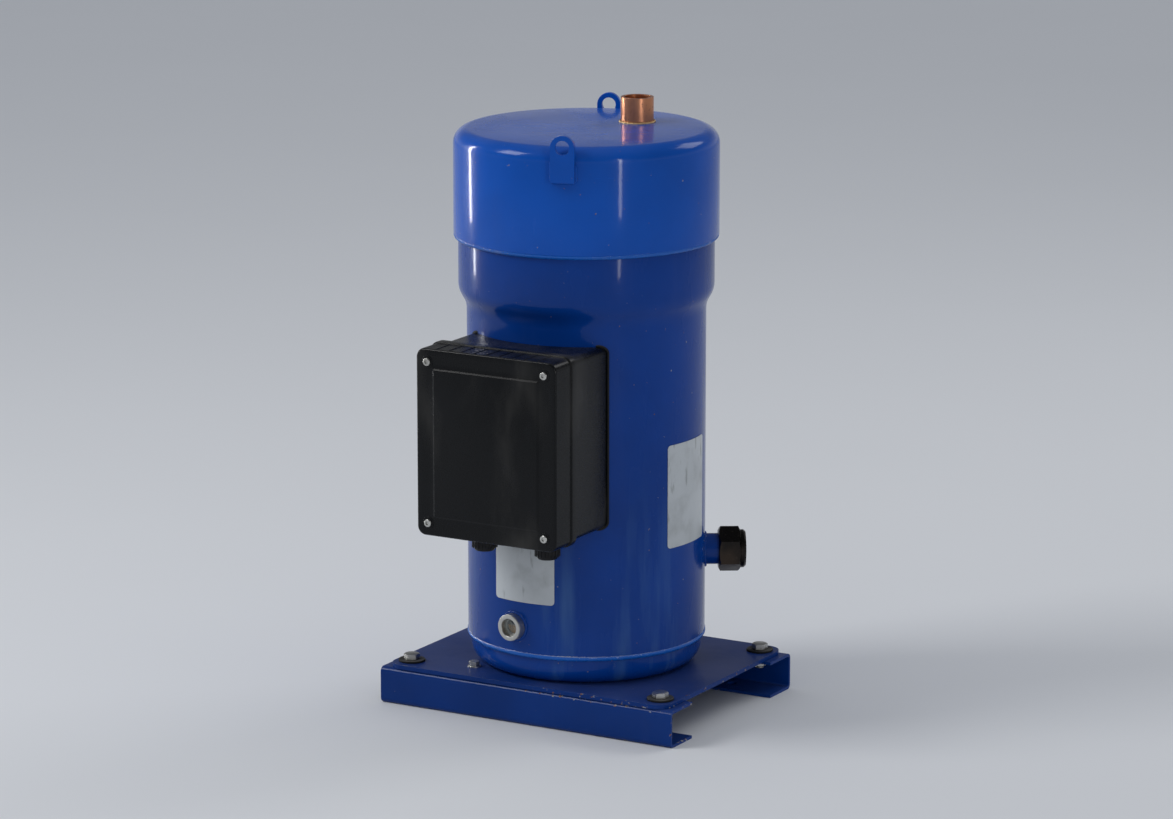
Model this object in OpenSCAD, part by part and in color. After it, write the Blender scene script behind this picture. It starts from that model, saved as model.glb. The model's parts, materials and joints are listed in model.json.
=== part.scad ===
// Hermetic vertical scroll compressor on a pair of mounting rails.
// Origin: centre of the rail bolt pattern, on the plane under the rails. +Z is up and -Y is the terminal box side.
// Azimuths are measured from the front (-Y), positive towards +X.

/* [Mounting rails] */
// How far the rails run past the base plate at each end
rail_overhang = 9; // [4:1:40]
// Width of a rail across its flanges
rail_width = 58; // [52:1:70]
// Height of a rail
rail_height = 50; // [44:1:60]
// Sheet thickness of a rail
rail_wall = 4; // [3:0.5:5]
// Outside bend radius of a rail
rail_bend_r = 7; // [6:0.5:9]
// Distance between the centre lines of the two rails
rail_span = 279.4; // [275:0.1:300]
// Spacing of the holes along each rail that bolt it down
rail_hole_spacing = 300; // [270:1:320]
// Diameter of the holes that bolt the rails down
rail_hole_d = 13.5; // [11:0.5:16]

/* [Base plate] */
// Distance of the base bolts from the base plate's short edges
base_bolt_edge = 23; // [20:1:30]
// Thickness of the base plate
base_t = 6; // [5:0.5:8]
// How far the base plate's long edges stay inside the rails' outer faces
base_inset = 0.7; // [0.5:0.1:4]
// Corner radius of the base plate
base_corner_r = 22; // [10:1:28]
// Diameter of the opening in the middle of the base plate
base_window_d = 70; // [50:1:80]
// Spacing of the base bolts along X
base_bolt_span = 384; // [372:1:390]
// Thread diameter of the base bolts
base_bolt_d = 12; // [10:1:14]
// Across-flats size of the base bolts and nuts
base_bolt_af = 19; // [17:1:22]
// Height of a base bolt's head
base_head_h = 7.5; // [6:0.5:9]
// Height of a base nut
base_nut_h = 10; // [8:0.5:12]
// Outer diameter of the base washers
base_washer_d = 36; // [30:1:40]
// Thickness of the base washers
base_washer_t = 3; // [2:0.5:4]
// Thread left showing under a base nut
base_thread_end = 4; // [2:0.5:6]
// Thread diameter of the ground screw
ground_d = 8; // [6:1:10]
// Azimuth of the ground screw from the front
ground_azimuth = -40; // [-46:1:-34]
// Distance of the ground screw's axis from the bottom cap
ground_clearance = 6; // [6:0.5:9]

/* [Shell] */
// Outer diameter of the motor section
shell_d = 320; // [314:1:326]
// Wall of the welded shell
shell_wall = 5; // [4:0.5:6]
// Height of the flare between the two diameters
flare_h = 18; // [14:1:24]
// Plain length between the flare and the bearing housing's rim
flare_to_frame = 14; // [10:1:20]
// Wall of the top cap
cap_wall = 6; // [5:0.5:8]
// Outside corner radius of the top cap
cap_corner_r = 20; // [14:1:26]
// How far the cap laps over the shell
cap_lap = 24; // [16:1:30]
// Height of the discharge space between the partition and the cap
plenum_h = 70; // [64:1:90]
// Height of the bottom cap that shows below the shell
bottom_cap_h = 40; // [34:1:50]
// How far the bottom cap is inserted into the shell
bottom_cap_insert = 16; // [10:1:20]
// Outside corner radius of the bottom cap
bottom_corner_r = 24; // [14:1:30]
// Radius of the weld beads
weld_r = 4; // [3:0.5:5]
// Thickness of the partition plate
partition_t = 6; // [5:0.5:7]
// Depth from the partition's flange to the underside of its crown
partition_depth = 36; // [34:1:40]
// Corner radius of the partition's crown
partition_corner_r = 14; // [10:1:18]
// Gap between the partition's crown and the shell beside it
partition_gap = 3; // [1.5:0.5:4]

/* [Scroll set] */
// Radial distance from one turn of a wrap to the next
scroll_pitch = 22; // [21:0.5:23]
// Thickness of the wraps
wrap_t = 5; // [4.5:0.1:5.5]
// Height of the wraps
wrap_h = 44; // [36:1:52]
// Half turns in the orbiting wrap
half_turns = 8; // [7:1:8]
// Mid-line radius of the innermost half turn
wrap_core_r = 13.5; // [13:0.1:13.8]
// Gap left between the flanks of the two wraps
flank_clearance = 0.15; // [0.1:0.01:0.25]
// Gap between a wrap's tip and the plate it faces
tip_clearance = 0.3; // [0.2:0.05:0.5]
// Thickness of the orbiting scroll's plate
orbiting_plate_t = 14; // [13:0.5:18]
// Diameter of the orbiting scroll's plate
orbiting_plate_d = 244; // [242:1:246]
// Thickness of the fixed scroll's plate
fixed_plate_t = 28; // [24:1:34]
// How far the fixed scroll's body stands outside the orbiting scroll's plate
fixed_body_margin = 4; // [3:0.5:6]
// Gap between the fixed scroll's flange and the shell
fixed_flange_gap = 8; // [7:0.5:10]
// Thickness of the fixed scroll's flange
fixed_flange_t = 16; // [12:1:20]
// Distance of the fixed scroll's bolts from the housing's outer face
fixed_bolt_inset = 20; // [19:0.5:22]
// Number of bolts that hold the fixed scroll
fixed_bolt_count = 6; // [6:6:6]
// Thread diameter of those bolts
fixed_bolt_d = 10; // [8:1:10]
// Head diameter of those bolts
fixed_head_d = 16; // [13:1:16]
// Head height of those bolts
fixed_head_h = 10; // [8:1:10]
// Thread engagement of those bolts in the bearing housing
fixed_bolt_grip = 22; // [16:1:30]
// Diameter of the discharge port in the fixed scroll
port_d = 18; // [14:1:20]
// Diameter of the chamber above the discharge port
port_chamber_d = 32; // [30:1:36]
// Depth of metal left under that chamber
port_floor_t = 12; // [8:1:16]
// Width of each suction slot through the fixed scroll's rim
suction_slot_w = 40; // [30:1:50]

/* [Orbit drive] */
// Outer diameter of the orbiting scroll's drive hub
hub_d = 68; // [66:1:70]
// Length of the drive hub below the plate
hub_h = 25.3; // [22:0.1:26]
// Outer diameter of the sleeve bearing in the hub
hub_bearing_d = 56; // [54:1:58]
// Outer diameter of the drive bush on the crank pin
drive_bush_d = 48; // [46:1:50]
// Diameter of the crank pin
crank_pin_d = 38; // [36:1:40]
// Width of the Oldham ring
oldham_ring_w = 16; // [14:1:17]
// Thickness of the Oldham ring
oldham_ring_t = 10; // [8:1:10]
// Length of an Oldham key along its slot
oldham_key_l = 16; // [12:1:16]
// Width of an Oldham key
oldham_key_w = 12; // [10:1:14]
// Height of the keys that point down
oldham_key_down_h = 8; // [6:1:9]
// Height of the keys that point up
oldham_key_up_h = 9; // [7:1:9]
// Side clearance of a key in its slot
key_clearance = 0.3; // [0.2:0.05:0.5]
// Running clearance between faces that slide on each other
run_gap = 0.3; // [0.2:0.05:0.5]
// Radial clearance of a journal in its bush
journal_gap = 0.05; // [0.02:0.01:0.1]

/* [Bearing housing] */
// Length of the main bearing
main_bearing_l = 52; // [44:1:60]
// Diameter of the shaft's main journal
main_journal_d = 50; // [46:1:52]
// Outer diameter of the main bearing bush
main_bush_d = 60; // [58:1:62]
// Outer diameter of the hub round the main bearing
main_hub_d = 84; // [80:1:90]
// Diameter of the counterweight space under the orbiting scroll
cavity_d = 128; // [126:1:132]
// Depth of the counterweight space below the thrust face
cavity_depth = 36; // [34:1:40]
// Width of the housing's rim outside the Oldham ring's pocket
frame_rim_w = 36.15; // [34:0.05:40]
// Height of the thrust face above the pocket floor
thrust_step = 12; // [12:0.5:14]
// Depth of the pocket floor below the housing's top face
pocket_depth = 44; // [40:1:48]
// Height of the housing's outer rim
frame_rim_h = 60; // [56:1:66]
// Diameter of each leg that carries the stator
leg_d = 28; // [24:1:28]
// Pitch circle of the stator's bolts
stator_bolt_pcd = 224; // [222:1:228]
// Diameter of the stator's bolts
stator_bolt_d = 10; // [8:1:12]
// Thread engagement of the stator's bolts in the legs
stator_bolt_grip = 30; // [20:1:40]

/* [Motor] */
// Outer diameter of the stator core
stator_d = 250; // [246:1:256]
// Length of the stator core
stator_l = 170; // [150:1:190]
// Number of stator slots
slot_count = 24; // [18:6:24]
// Radial gap between rotor and stator
air_gap = 0.6; // [0.5:0.1:1]
// Diameter of the rotor
rotor_d = 120; // [118:1:122]
// Inner diameter of the end turns
end_turn_inner_d = 132; // [130:1:136]
// Outer diameter of the end turns
end_turn_outer_d = 192; // [186:1:194]
// Height of the end turns
end_turn_h = 50; // [44:1:56]
// Number of bars in the rotor's cage
bar_count = 28; // [20:4:28]
// Diameter of the cage bars
bar_d = 8; // [6:0.5:9]
// Outer diameter of the cage's end rings
end_ring_d = 114; // [110:1:116]
// Height of the cage's end rings
end_ring_h = 14; // [10:1:16]
// Distance from the upper end turns to the main bearing
motor_to_frame = 65; // [60:1:80]
// Diameter of the shaft in the rotor
shaft_d = 44; // [42:1:46]
// Height of the counterweight under the rotor
lower_weight_h = 14; // [10:1:20]

/* [Lower bearing] */
// Height of the bearing bracket above the shell's lower edge
sump_depth = 48; // [44:1:60]
// Height of the bracket's hub
lower_hub_h = 56; // [50:1:60]
// Outer diameter of the bracket's hub
lower_hub_d = 64; // [60:1:68]
// Outer diameter of the lower bush
lower_bush_d = 44; // [42:1:46]
// Diameter of the shaft's lower journal
lower_journal_d = 35; // [32:1:36]
// Thickness of the floor under the lower bearing
lower_floor_t = 6; // [5:0.5:8]
// Thickness of the thrust washer
thrust_washer_t = 2; // [1.5:0.1:3]
// Height of the bracket's arms
arm_h = 22; // [16:1:26]
// Width of the bracket's arms
arm_w = 26; // [20:1:34]
// Distance from the bracket's hub to the stator core
bracket_to_stator = 35; // [32:1:45]
// Outer diameter of the oil pickup tube
pickup_d = 16; // [14:1:18]
// Distance from the pickup tube's mouth to the bottom cap's floor
pickup_to_floor = 16; // [10:1:24]

/* [Connections] */
// Socket diameter of the suction fitting, for a 1-5/8 inch tube
suction_socket_d = 41.5; // [41.4:0.05:41.8]
// Outer diameter of the suction fitting
suction_fitting_d = 52; // [50:1:56]
// Length of the suction fitting outside the shell
suction_reach = 46; // [40:1:60]
// Height of the suction fitting above the stator's lower face
suction_rise = 110; // [90:1:130]
// Depth of the suction and discharge sockets
socket_depth = 28; // [22:1:32]
// Step from a socket to the bore behind it
socket_step = 2.5; // [1.5:0.5:4]
// Socket diameter of the discharge fitting, for a 1-3/8 inch tube
discharge_socket_d = 35.1; // [35.05:0.05:35.4]
// Outer diameter of the discharge fitting
discharge_fitting_d = 44; // [42:1:48]
// Height of the discharge fitting above the cap
discharge_reach = 34; // [30:1:44]
// Distance of the discharge fitting from the axis
discharge_offset = 80; // [70:1:90]
// Azimuth of the discharge fitting
discharge_azimuth = 152; // [140:1:160]
// Azimuth of the oil equalisation fitting
equal_azimuth = 122; // [116:1:130]
// Height of the equalisation fitting above the shell's lower edge
equal_rise = 108; // [100:1:114]
// Thread diameter of the equalisation fitting
equal_d = 42; // [38:1:44]
// How far the equalisation fitting stands out of the shell
equal_reach = 44; // [38:1:60]
// Across-flats size of the equalisation fitting's cap nut
equal_nut_af = 54; // [50:1:55]
// Azimuth of the sight glass
sight_azimuth = -7; // [-12:1:0]
// Height of the sight glass above the shell's lower edge
sight_rise = 36; // [30:1:44]
// Outer diameter of the sight glass body
sight_body_d = 36; // [34:1:40]
// Diameter of the sight glass lens
sight_lens_d = 24; // [20:1:26]
// Thread diameter of the two service ports
port_thread_d = 11; // [10:0.5:12]
// How far the service ports stand out of the shell
port_reach = 20; // [16:1:26]
// Height of the upper service port above the stator's lower face
upper_port_rise = 60; // [40:1:100]
// Height of the lower service port above the shell's lower edge
lower_port_rise = 24; // [20:1:40]
// Distance of a lifting eye's centre above the cap
lug_rise = 2; // [0:1:8]
// Radius of a lifting lug's round end
lug_r = 16; // [15:1:20]
// Diameter of a lifting eye
lug_eye_d = 19; // [16:1:20]
// Thickness of a lifting lug
lug_t = 8; // [6:1:10]
// Azimuth of the first lifting lug, with the other one opposite
lug_azimuth = 20; // [10:1:30]

/* [Terminal box] */
// Width of the terminal box's base
box_w = 204; // [190:1:210]
// Height of the terminal box's base
box_h = 244; // [230:1:260]
// Depth of the closed box from the shell's front
box_depth = 105; // [95:1:120]
// Depth of the cover's tray
cover_depth = 52; // [45:1:56]
// Wall of the terminal box
box_wall = 3; // [2.5:0.5:4]
// Corner radius of the terminal box
box_corner_r = 9; // [6:1:14]
// Gap between the cover and the base inside it
cover_gap = 0.3; // [0.2:0.05:0.5]
// Distance from the terminals' centre down to the box's middle
box_drop = 38; // [30:1:44]
// Diameter of the terminal plate
terminal_plate_d = 72; // [68:1:76]
// Height of the terminals above the stator core
terminal_rise = 28; // [24:1:32]
// Pitch circle of the three terminal pins
terminal_pcd = 36; // [32:1:40]
// Diameter of a terminal pin
terminal_pin_d = 9; // [8:0.5:10]
// Outer diameter of a pin's glass insulator
insulator_d = 18; // [16:1:20]
// Distance of each cable gland from the box's middle
gland_x = 48; // [42:1:56]
// Thread diameter of the cable glands
gland_thread_d = 32; // [28:1:34]
// Cable opening of the glands
gland_bore_d = 18; // [14:1:20]
// Width of the motor protector
protector_w = 84; // [70:1:90]
// Height of the motor protector
protector_h = 56; // [44:1:60]
// Depth of the motor protector in front of the shell
protector_depth = 36; // [30:1:44]
// Across-flats size of the glands
gland_af = 36; // [34:1:38]

/* [Hidden] */
$fn = 96;
over = 1;

paint = "royalblue";
steel = "silver";
iron = "dimgray";
copper = "peru";
black = [0.09, 0.09, 0.1];

// Radii of the shell and cap
shell_r = shell_d / 2;
shell_in_r = shell_r - shell_wall;
bottom_cap_r = shell_in_r;

// Orbit of the moving scroll, from the pitch and the wrap thickness
orbit = scroll_pitch / 2 - wrap_t - flank_clearance;
wrap_centre = scroll_pitch / 4;

// Oldham ring under the orbiting plate, the pocket it slides in, and the thrust face inside it
pocket_gap = 2;
oldham_out_r = orbiting_plate_d / 2;
oldham_in_r = oldham_out_r - oldham_ring_w;
oldham_key_r = oldham_in_r + oldham_ring_w / 2;
thrust_r = oldham_in_r - orbit - pocket_gap;
pocket_r = oldham_out_r + orbit + pocket_gap;
slot_end_gap = 0.5;

// Widened end of the shell round the bearing housing, and what fits in it
upper_in_r = pocket_r + frame_rim_w;
upper_shell_r = upper_in_r + shell_wall;
cap_r = upper_shell_r + cap_wall;
fixed_body_r = orbiting_plate_d / 2 + fixed_body_margin;
fixed_flange_r = upper_in_r - fixed_flange_gap;
fixed_bolt_r = upper_in_r - fixed_bolt_inset;

// Lengths of the base plate and rails
base_length = base_bolt_span + 2 * base_bolt_edge;
rail_length = base_length + 2 * rail_overhang;

// Heights from the rails up to the motor
base_top = rail_height + base_t;
shell_bottom = base_top + bottom_cap_h;
bracket_z = shell_bottom + sump_depth;
lower_hub_top = bracket_z + lower_hub_h;
stator_bottom = lower_hub_top + bracket_to_stator;
stator_top = stator_bottom + stator_l;
frame_hub_z = stator_top + end_turn_h + motor_to_frame;

// Heights of the bearing housing and the scroll set
cavity_floor = frame_hub_z + main_bearing_l;
thrust_z = cavity_floor + cavity_depth;
pocket_floor = thrust_z - thrust_step;
frame_top = pocket_floor + pocket_depth;
frame_edge_z = frame_top - frame_rim_h;
flare_top = frame_edge_z - flare_to_frame;
flare_bottom = flare_top - flare_h;
flare_shift = shell_wall * tan(atan((upper_shell_r - shell_r) / flare_h) / 2);
plate_bottom = thrust_z + run_gap;
plate_top = plate_bottom + orbiting_plate_t;
fixed_face = plate_top + wrap_h + tip_clearance;
fixed_top = fixed_face + fixed_plate_t;
flange_top = frame_top + fixed_flange_t;

// Heights of the partition, shell edge and cap
seal_h = 5.4;
seal_w = 8;
seal_out_r = (port_chamber_d + cavity_d) / 2 - 22;
partition_under = fixed_top + seal_h;
partition_top = partition_under + partition_t;
shell_top = partition_under - partition_depth;
cap_bottom = shell_top - cap_lap;
cap_top = partition_top + plenum_h + cap_wall;

oldham_z = pocket_floor + run_gap;
oldham_top = oldham_z + oldham_ring_t;

// Shaft
shaft_bottom = bracket_z + lower_floor_t + thrust_washer_t;
shaft_shoulder_z = lower_hub_top + 6;
main_journal_z = frame_hub_z - 2;
collar_z = cavity_floor + run_gap;
collar_t = 4;
crank_z = collar_z + collar_t;
counterweight_web_t = 4;
counterweight_top = thrust_z - 8;
hub_z = plate_bottom - hub_h;
pin_top = plate_bottom - 4.3;
gallery_d = 8;
gallery_x = 6;

// Terminal box
terminal_z = stator_top + terminal_rise;
box_z = terminal_z - box_drop;
box_front = shell_r + box_depth;
box_split = box_front - cover_depth;
box_rim_lap = 8;
box_root = sqrt(shell_r * shell_r - box_w * box_w / 4) - 8;
gland_y = (shell_r + box_split) / 2;
box_bottom = box_z - box_h / 2;
cover_w = box_w + 2 * (cover_gap + box_wall);
cover_h = box_h + 2 * (cover_gap + box_wall);
post_x = box_w / 2 - 14;
post_z = box_h / 2 - 14;
module_z = box_bottom + protector_h + box_wall + 2;

// Connections
suction_z = stator_bottom + suction_rise;
equal_z = shell_bottom + equal_rise;
sight_z = shell_bottom + sight_rise;
equal_stub_end = shell_r + equal_reach;
service_places = [[-140, stator_bottom + upper_port_rise], [-105, shell_bottom + lower_port_rise]];
lug_eye_z = cap_top + lug_rise;
lug_foot = 46;

// Places children on the shell: their +Z points outwards at that azimuth, from radius r and height z.
module at_azimuth(azimuth, r, z) {
    rotate([0, 0, azimuth])
        translate([0, -r, z])
            rotate([90, 0, 0])
                children();
}

// Places children at the four base bolts.
module at_base_bolts() {
    for (x = [-1, 1], y = [-1, 1])
        translate([x * base_bolt_span / 2, y * rail_span / 2, 0])
            children();
}

module tube(r_out, r_in, h) {
    difference() {
        cylinder(r = r_out, h = h);
        translate([0, 0, -over]) cylinder(r = r_in, h = h + 2 * over);
    }
}

module hexagon(across_flats, h) {
    cylinder(d = across_flats / cos(30), h = h, $fn = 6);
}

module rounded_rect(w, h, r) {
    square([w - 2 * r, h], center = true);
    square([w, h - 2 * r], center = true);
    for (x = [-1, 1], y = [-1, 1])
        translate([x * (w / 2 - r), y * (h / 2 - r)])
            circle(r = r);
}

// Half section of a cup that stands on its closed end.
module cup_section(r, h, corner) {
    square([r - corner, h]);
    translate([0, corner]) square([r, h - corner]);
    translate([r - corner, corner]) circle(r = corner);
}

module cup(r, h, wall, corner) {
    rotate_extrude()
        difference() {
            cup_section(r, h, corner);
            translate([0, wall]) cup_section(r - wall, h, corner - wall);
        }
}

// ---- Mounting rails and base ----

// Section of a folded channel: web at x = 0, open side at x = w.
module channel_section(w, h, t, bend) {
    inner_bend = bend - t;
    difference() {
        union() {
            translate([bend, 0]) square([w - bend, h]);
            translate([0, bend]) square([w, h - 2 * bend]);
            for (y = [bend, h - bend])
                translate([bend, y]) circle(r = bend);
        }
        translate([bend, t]) square([w, h - 2 * t]);
        translate([t, bend]) square([w, h - 2 * bend]);
        for (y = [bend, h - bend])
            translate([bend, y]) circle(r = inner_bend);
    }
}

module rail() {
    difference() {
        translate([0, -(rail_span + rail_width) / 2, 0])
            rotate([90, 0, 90])
                linear_extrude(height = rail_length, center = true)
                    channel_section(rail_width, rail_height, rail_wall, rail_bend_r);
        for (x = [-1, 1]) {
            translate([x * base_bolt_span / 2, -rail_span / 2, rail_height / 2])
                cylinder(d = base_bolt_d + 1, h = rail_height);
            translate([x * rail_hole_spacing / 2, -rail_span / 2, -over])
                cylinder(d = rail_hole_d, h = rail_height / 2);
        }
    }
}

module rail_front() {
    color(paint) rail();
}

module rail_rear() {
    color(paint) mirror([0, 1, 0]) rail();
}

base_w = rail_span + rail_width - 2 * base_inset;

module at_ground_screw() {
    rotate([0, 0, ground_azimuth])
        translate([0, -bottom_cap_r - ground_clearance, 0])
            children();
}

module base_plate() {
    color(paint)
        translate([0, 0, rail_height])
            difference() {
                linear_extrude(height = base_t)
                    difference() {
                        rounded_rect(base_length, base_w, base_corner_r);
                        circle(d = base_window_d);
                        at_ground_screw() circle(d = ground_d);
                    }
                translate([0, 0, -over])
                    at_base_bolts() cylinder(d = base_bolt_d + 1, h = base_t + 2 * over);
            }
}

module base_bolts() {
    shank = base_washer_t + base_t + rail_wall + base_nut_h + base_thread_end;
    color(steel)
        translate([0, 0, base_top + base_washer_t])
            at_base_bolts() {
                hexagon(base_bolt_af, base_head_h);
                translate([0, 0, -shank]) cylinder(d = base_bolt_d, h = shank);
            }
}

module base_washers() {
    color(black)
        translate([0, 0, base_top])
            at_base_bolts() tube(base_washer_d / 2, base_bolt_d / 2, base_washer_t);
}

module base_nuts() {
    color(steel)
        translate([0, 0, rail_height - rail_wall - base_nut_h])
            at_base_bolts()
                difference() {
                    hexagon(base_bolt_af, base_nut_h);
                    translate([0, 0, -over]) cylinder(d = base_bolt_d, h = base_nut_h + 2 * over);
                }
}

module ground_screw() {
    washer_t = ground_d / 5;
    color(steel)
        translate([0, 0, rail_height])
            at_ground_screw() {
                cylinder(d = ground_d, h = base_t + over);
                translate([0, 0, base_t]) cylinder(d = 2.25 * ground_d, h = washer_t);
                translate([0, 0, base_t + washer_t]) hexagon(1.625 * ground_d, 0.75 * ground_d);
            }
}

// ---- Pressure shell ----

module bottom_cap() {
    color(paint)
        translate([0, 0, base_top])
            cup(bottom_cap_r, bottom_cap_h + bottom_cap_insert, shell_wall, bottom_corner_r);
}

module shell_holes() {
    at_azimuth(0, shell_r - 40, terminal_z) cylinder(d = terminal_plate_d, h = 80);
    at_azimuth(180, shell_r - 40, suction_z) cylinder(d = suction_fitting_d, h = 80);
    at_azimuth(equal_azimuth, shell_r - 40, equal_z) cylinder(d = equal_d, h = 80);
    at_azimuth(sight_azimuth, shell_r - 40, sight_z) cylinder(d = sight_body_d, h = 80);
    for (place = service_places)
        at_azimuth(place[0], shell_r - 40, place[1]) cylinder(d = port_thread_d, h = 80);
}

module main_shell() {
    color(paint)
        difference() {
            rotate_extrude()
                polygon([
                    [shell_in_r, shell_bottom],
                    [shell_r, shell_bottom],
                    [shell_r, flare_bottom],
                    [upper_shell_r, flare_top],
                    [upper_shell_r, shell_top],
                    [upper_in_r, shell_top],
                    [upper_in_r, flare_top + flare_shift],
                    [shell_in_r, flare_bottom + flare_shift]
                ]);
            shell_holes();
        }
}

// Fillet-shaped ring in the corner between a wall of radius r and a face at height z.
module weld_bead(r, z) {
    rotate_extrude()
        intersection() {
            translate([r, z]) circle(r = weld_r);
            translate([r, z - weld_r]) square([weld_r, weld_r]);
        }
}

module weld_beads() {
    color(paint) {
        weld_bead(bottom_cap_r, shell_bottom);
        weld_bead(upper_shell_r, cap_bottom);
    }
}

module top_cap() {
    height = cap_top - cap_bottom;
    color(paint)
        difference() {
            translate([0, 0, cap_top]) mirror([0, 0, 1]) cup(cap_r, height, cap_wall, cap_corner_r);
            rotate([0, 0, discharge_azimuth])
                translate([0, -discharge_offset, cap_top - 2 * cap_wall])
                    cylinder(d = discharge_fitting_d, h = 3 * cap_wall);
        }
}

seat_spigot_d = 52;

module partition_plate() {
    crown_r = upper_in_r - partition_gap;
    color(iron)
        difference() {
            union() {
                translate([0, 0, partition_top])
                    mirror([0, 0, 1])
                        cup(crown_r, partition_top - shell_top, partition_t, partition_corner_r);
                translate([0, 0, shell_top])
                    tube(upper_shell_r, crown_r - partition_t / 2, partition_t);
            }
            translate([0, 0, partition_under - over])
                cylinder(d = seat_spigot_d, h = partition_t + 2 * over);
        }
}

module lifting_lug() {
    difference() {
        rotate([90, 0, 0])
            linear_extrude(height = cap_r + lug_t)
                difference() {
                    union() {
                        translate([0, lug_eye_z]) circle(r = lug_r);
                        translate([-lug_r, lug_eye_z - lug_foot]) square([2 * lug_r, lug_foot]);
                    }
                    translate([0, lug_eye_z]) circle(d = lug_eye_d);
                }
        cylinder(r = cap_r, h = 2 * cap_top);
    }
}

module lifting_lugs() {
    color(paint)
        for (turn = [0, 180])
            rotate([0, 0, lug_azimuth + turn]) lifting_lug();
}

// ---- Connections on the shell ----

// Brazing stub along +Z from z = 0: a socket at the far end and a narrower bore behind it.
module braze_stub(outer_d, socket_d, length) {
    difference() {
        cylinder(d = outer_d, h = length);
        translate([0, 0, length - socket_depth]) cylinder(d = socket_d, h = socket_depth + over);
        translate([0, 0, -over]) cylinder(d = socket_d - 2 * socket_step, h = length + over);
    }
}

module suction_fitting() {
    inner_end = shell_in_r - 6;
    color(copper)
        at_azimuth(180, inner_end, suction_z)
            braze_stub(suction_fitting_d, suction_socket_d, shell_r + suction_reach - inner_end);
}

module discharge_fitting() {
    inner_end = cap_top - cap_wall - 6;
    color(copper)
        rotate([0, 0, discharge_azimuth])
            translate([0, -discharge_offset, inner_end])
                braze_stub(discharge_fitting_d, discharge_socket_d, cap_top + discharge_reach - inner_end);
}

sight_depth = 12;
sight_lens_t = 6;
sight_rim = 4;

module sight_glass_body() {
    inner_end = shell_in_r - 2;
    length = shell_r + sight_depth - inner_end;
    color(steel)
        at_azimuth(sight_azimuth, inner_end, sight_z)
            difference() {
                cylinder(d = sight_body_d, h = length);
                translate([0, 0, -over]) cylinder(d = sight_lens_d - 4, h = length + 2 * over);
                translate([0, 0, length - sight_rim - sight_lens_t])
                    cylinder(d = sight_lens_d, h = sight_rim + sight_lens_t + over);
            }
}

module sight_glass_lens() {
    color("gold")
        at_azimuth(sight_azimuth, shell_r + sight_depth - sight_rim - sight_lens_t, sight_z)
            cylinder(d = sight_lens_d, h = sight_lens_t);
}

equal_seal_t = 2;
equal_nut_l = 38;
equal_nut_end_t = 10;
equal_cap_start = equal_stub_end + equal_seal_t + equal_nut_end_t - equal_nut_l;

module equalisation_fitting() {
    inner_end = shell_in_r - 4;
    color(paint)
        at_azimuth(equal_azimuth, inner_end, equal_z) tube(equal_d / 2, equal_d / 2 - 6, equal_stub_end - inner_end);
}

module equalisation_seal() {
    color("white")
        at_azimuth(equal_azimuth, equal_stub_end, equal_z) cylinder(d = equal_d - 2, h = equal_seal_t);
}

module equalisation_cap_nut() {
    color(iron)
        at_azimuth(equal_azimuth, equal_cap_start, equal_z)
            difference() {
                union() {
                    hexagon(equal_nut_af, equal_nut_l - 8);
                    cylinder(d = equal_nut_af - 2, h = equal_nut_l);
                }
                translate([0, 0, -over]) cylinder(d = equal_d, h = equal_nut_l - equal_nut_end_t + over);
            }
}

port_cap_l = 0.7 * port_reach;
port_root = 2;
port_collar_w = 2.5;
port_collar_d = port_thread_d + 2 * port_collar_w;
port_bore_d = 5.5;

module service_ports() {
    color(steel)
        for (place = service_places)
            at_azimuth(place[0], shell_in_r - port_root, place[1]) {
                tube(port_thread_d / 2, port_bore_d / 2, shell_wall + port_root + port_reach);
                translate([0, 0, shell_wall + port_root]) tube(port_collar_d / 2, port_thread_d / 2, port_reach / 4);
            }
}

module service_port_caps() {
    cap_end_t = port_cap_l / 5;
    cap_start = shell_r + port_reach - port_cap_l + cap_end_t;
    color("goldenrod")
        for (place = service_places)
            at_azimuth(place[0], cap_start, place[1])
                difference() {
                    union() {
                        hexagon(port_collar_d, 0.7 * port_cap_l);
                        cylinder(d = 0.96 * port_collar_d, h = port_cap_l);
                    }
                    translate([0, 0, -over]) cylinder(d = port_thread_d, h = port_cap_l - cap_end_t + over);
                }
}

// ---- Terminal box ----

cover_panel_t = 2;
cover_band = 11;
cover_band_t = 2;
panel_inset_x = 28;
panel_inset_z = 9;
post_d = 12;
screw_d = 5;
screw_l = 20;
screw_hole_depth = 25;
screw_head_d = 10;
screw_head_h = 3.5;
screw_socket_af = 5;
screw_socket_depth = 1.8;

// Places children at the four cover screws: their +Z points to the front, from the given depth.
module at_cover_screws(front) {
    for (x = [-1, 1], z = [-1, 1])
        translate([x * post_x, -front, box_z + z * post_z])
            rotate([90, 0, 0])
                children();
}

// Draws children in the box's front view and extrudes them from the given depth towards the shell.
module from_front(front, depth) {
    translate([0, -front + depth, box_z])
        rotate([90, 0, 0])
            linear_extrude(height = depth)
                children();
}

module gland_places() {
    for (x = [-1, 1])
        translate([x * gland_x, -gland_y, box_bottom])
            children();
}

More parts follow.
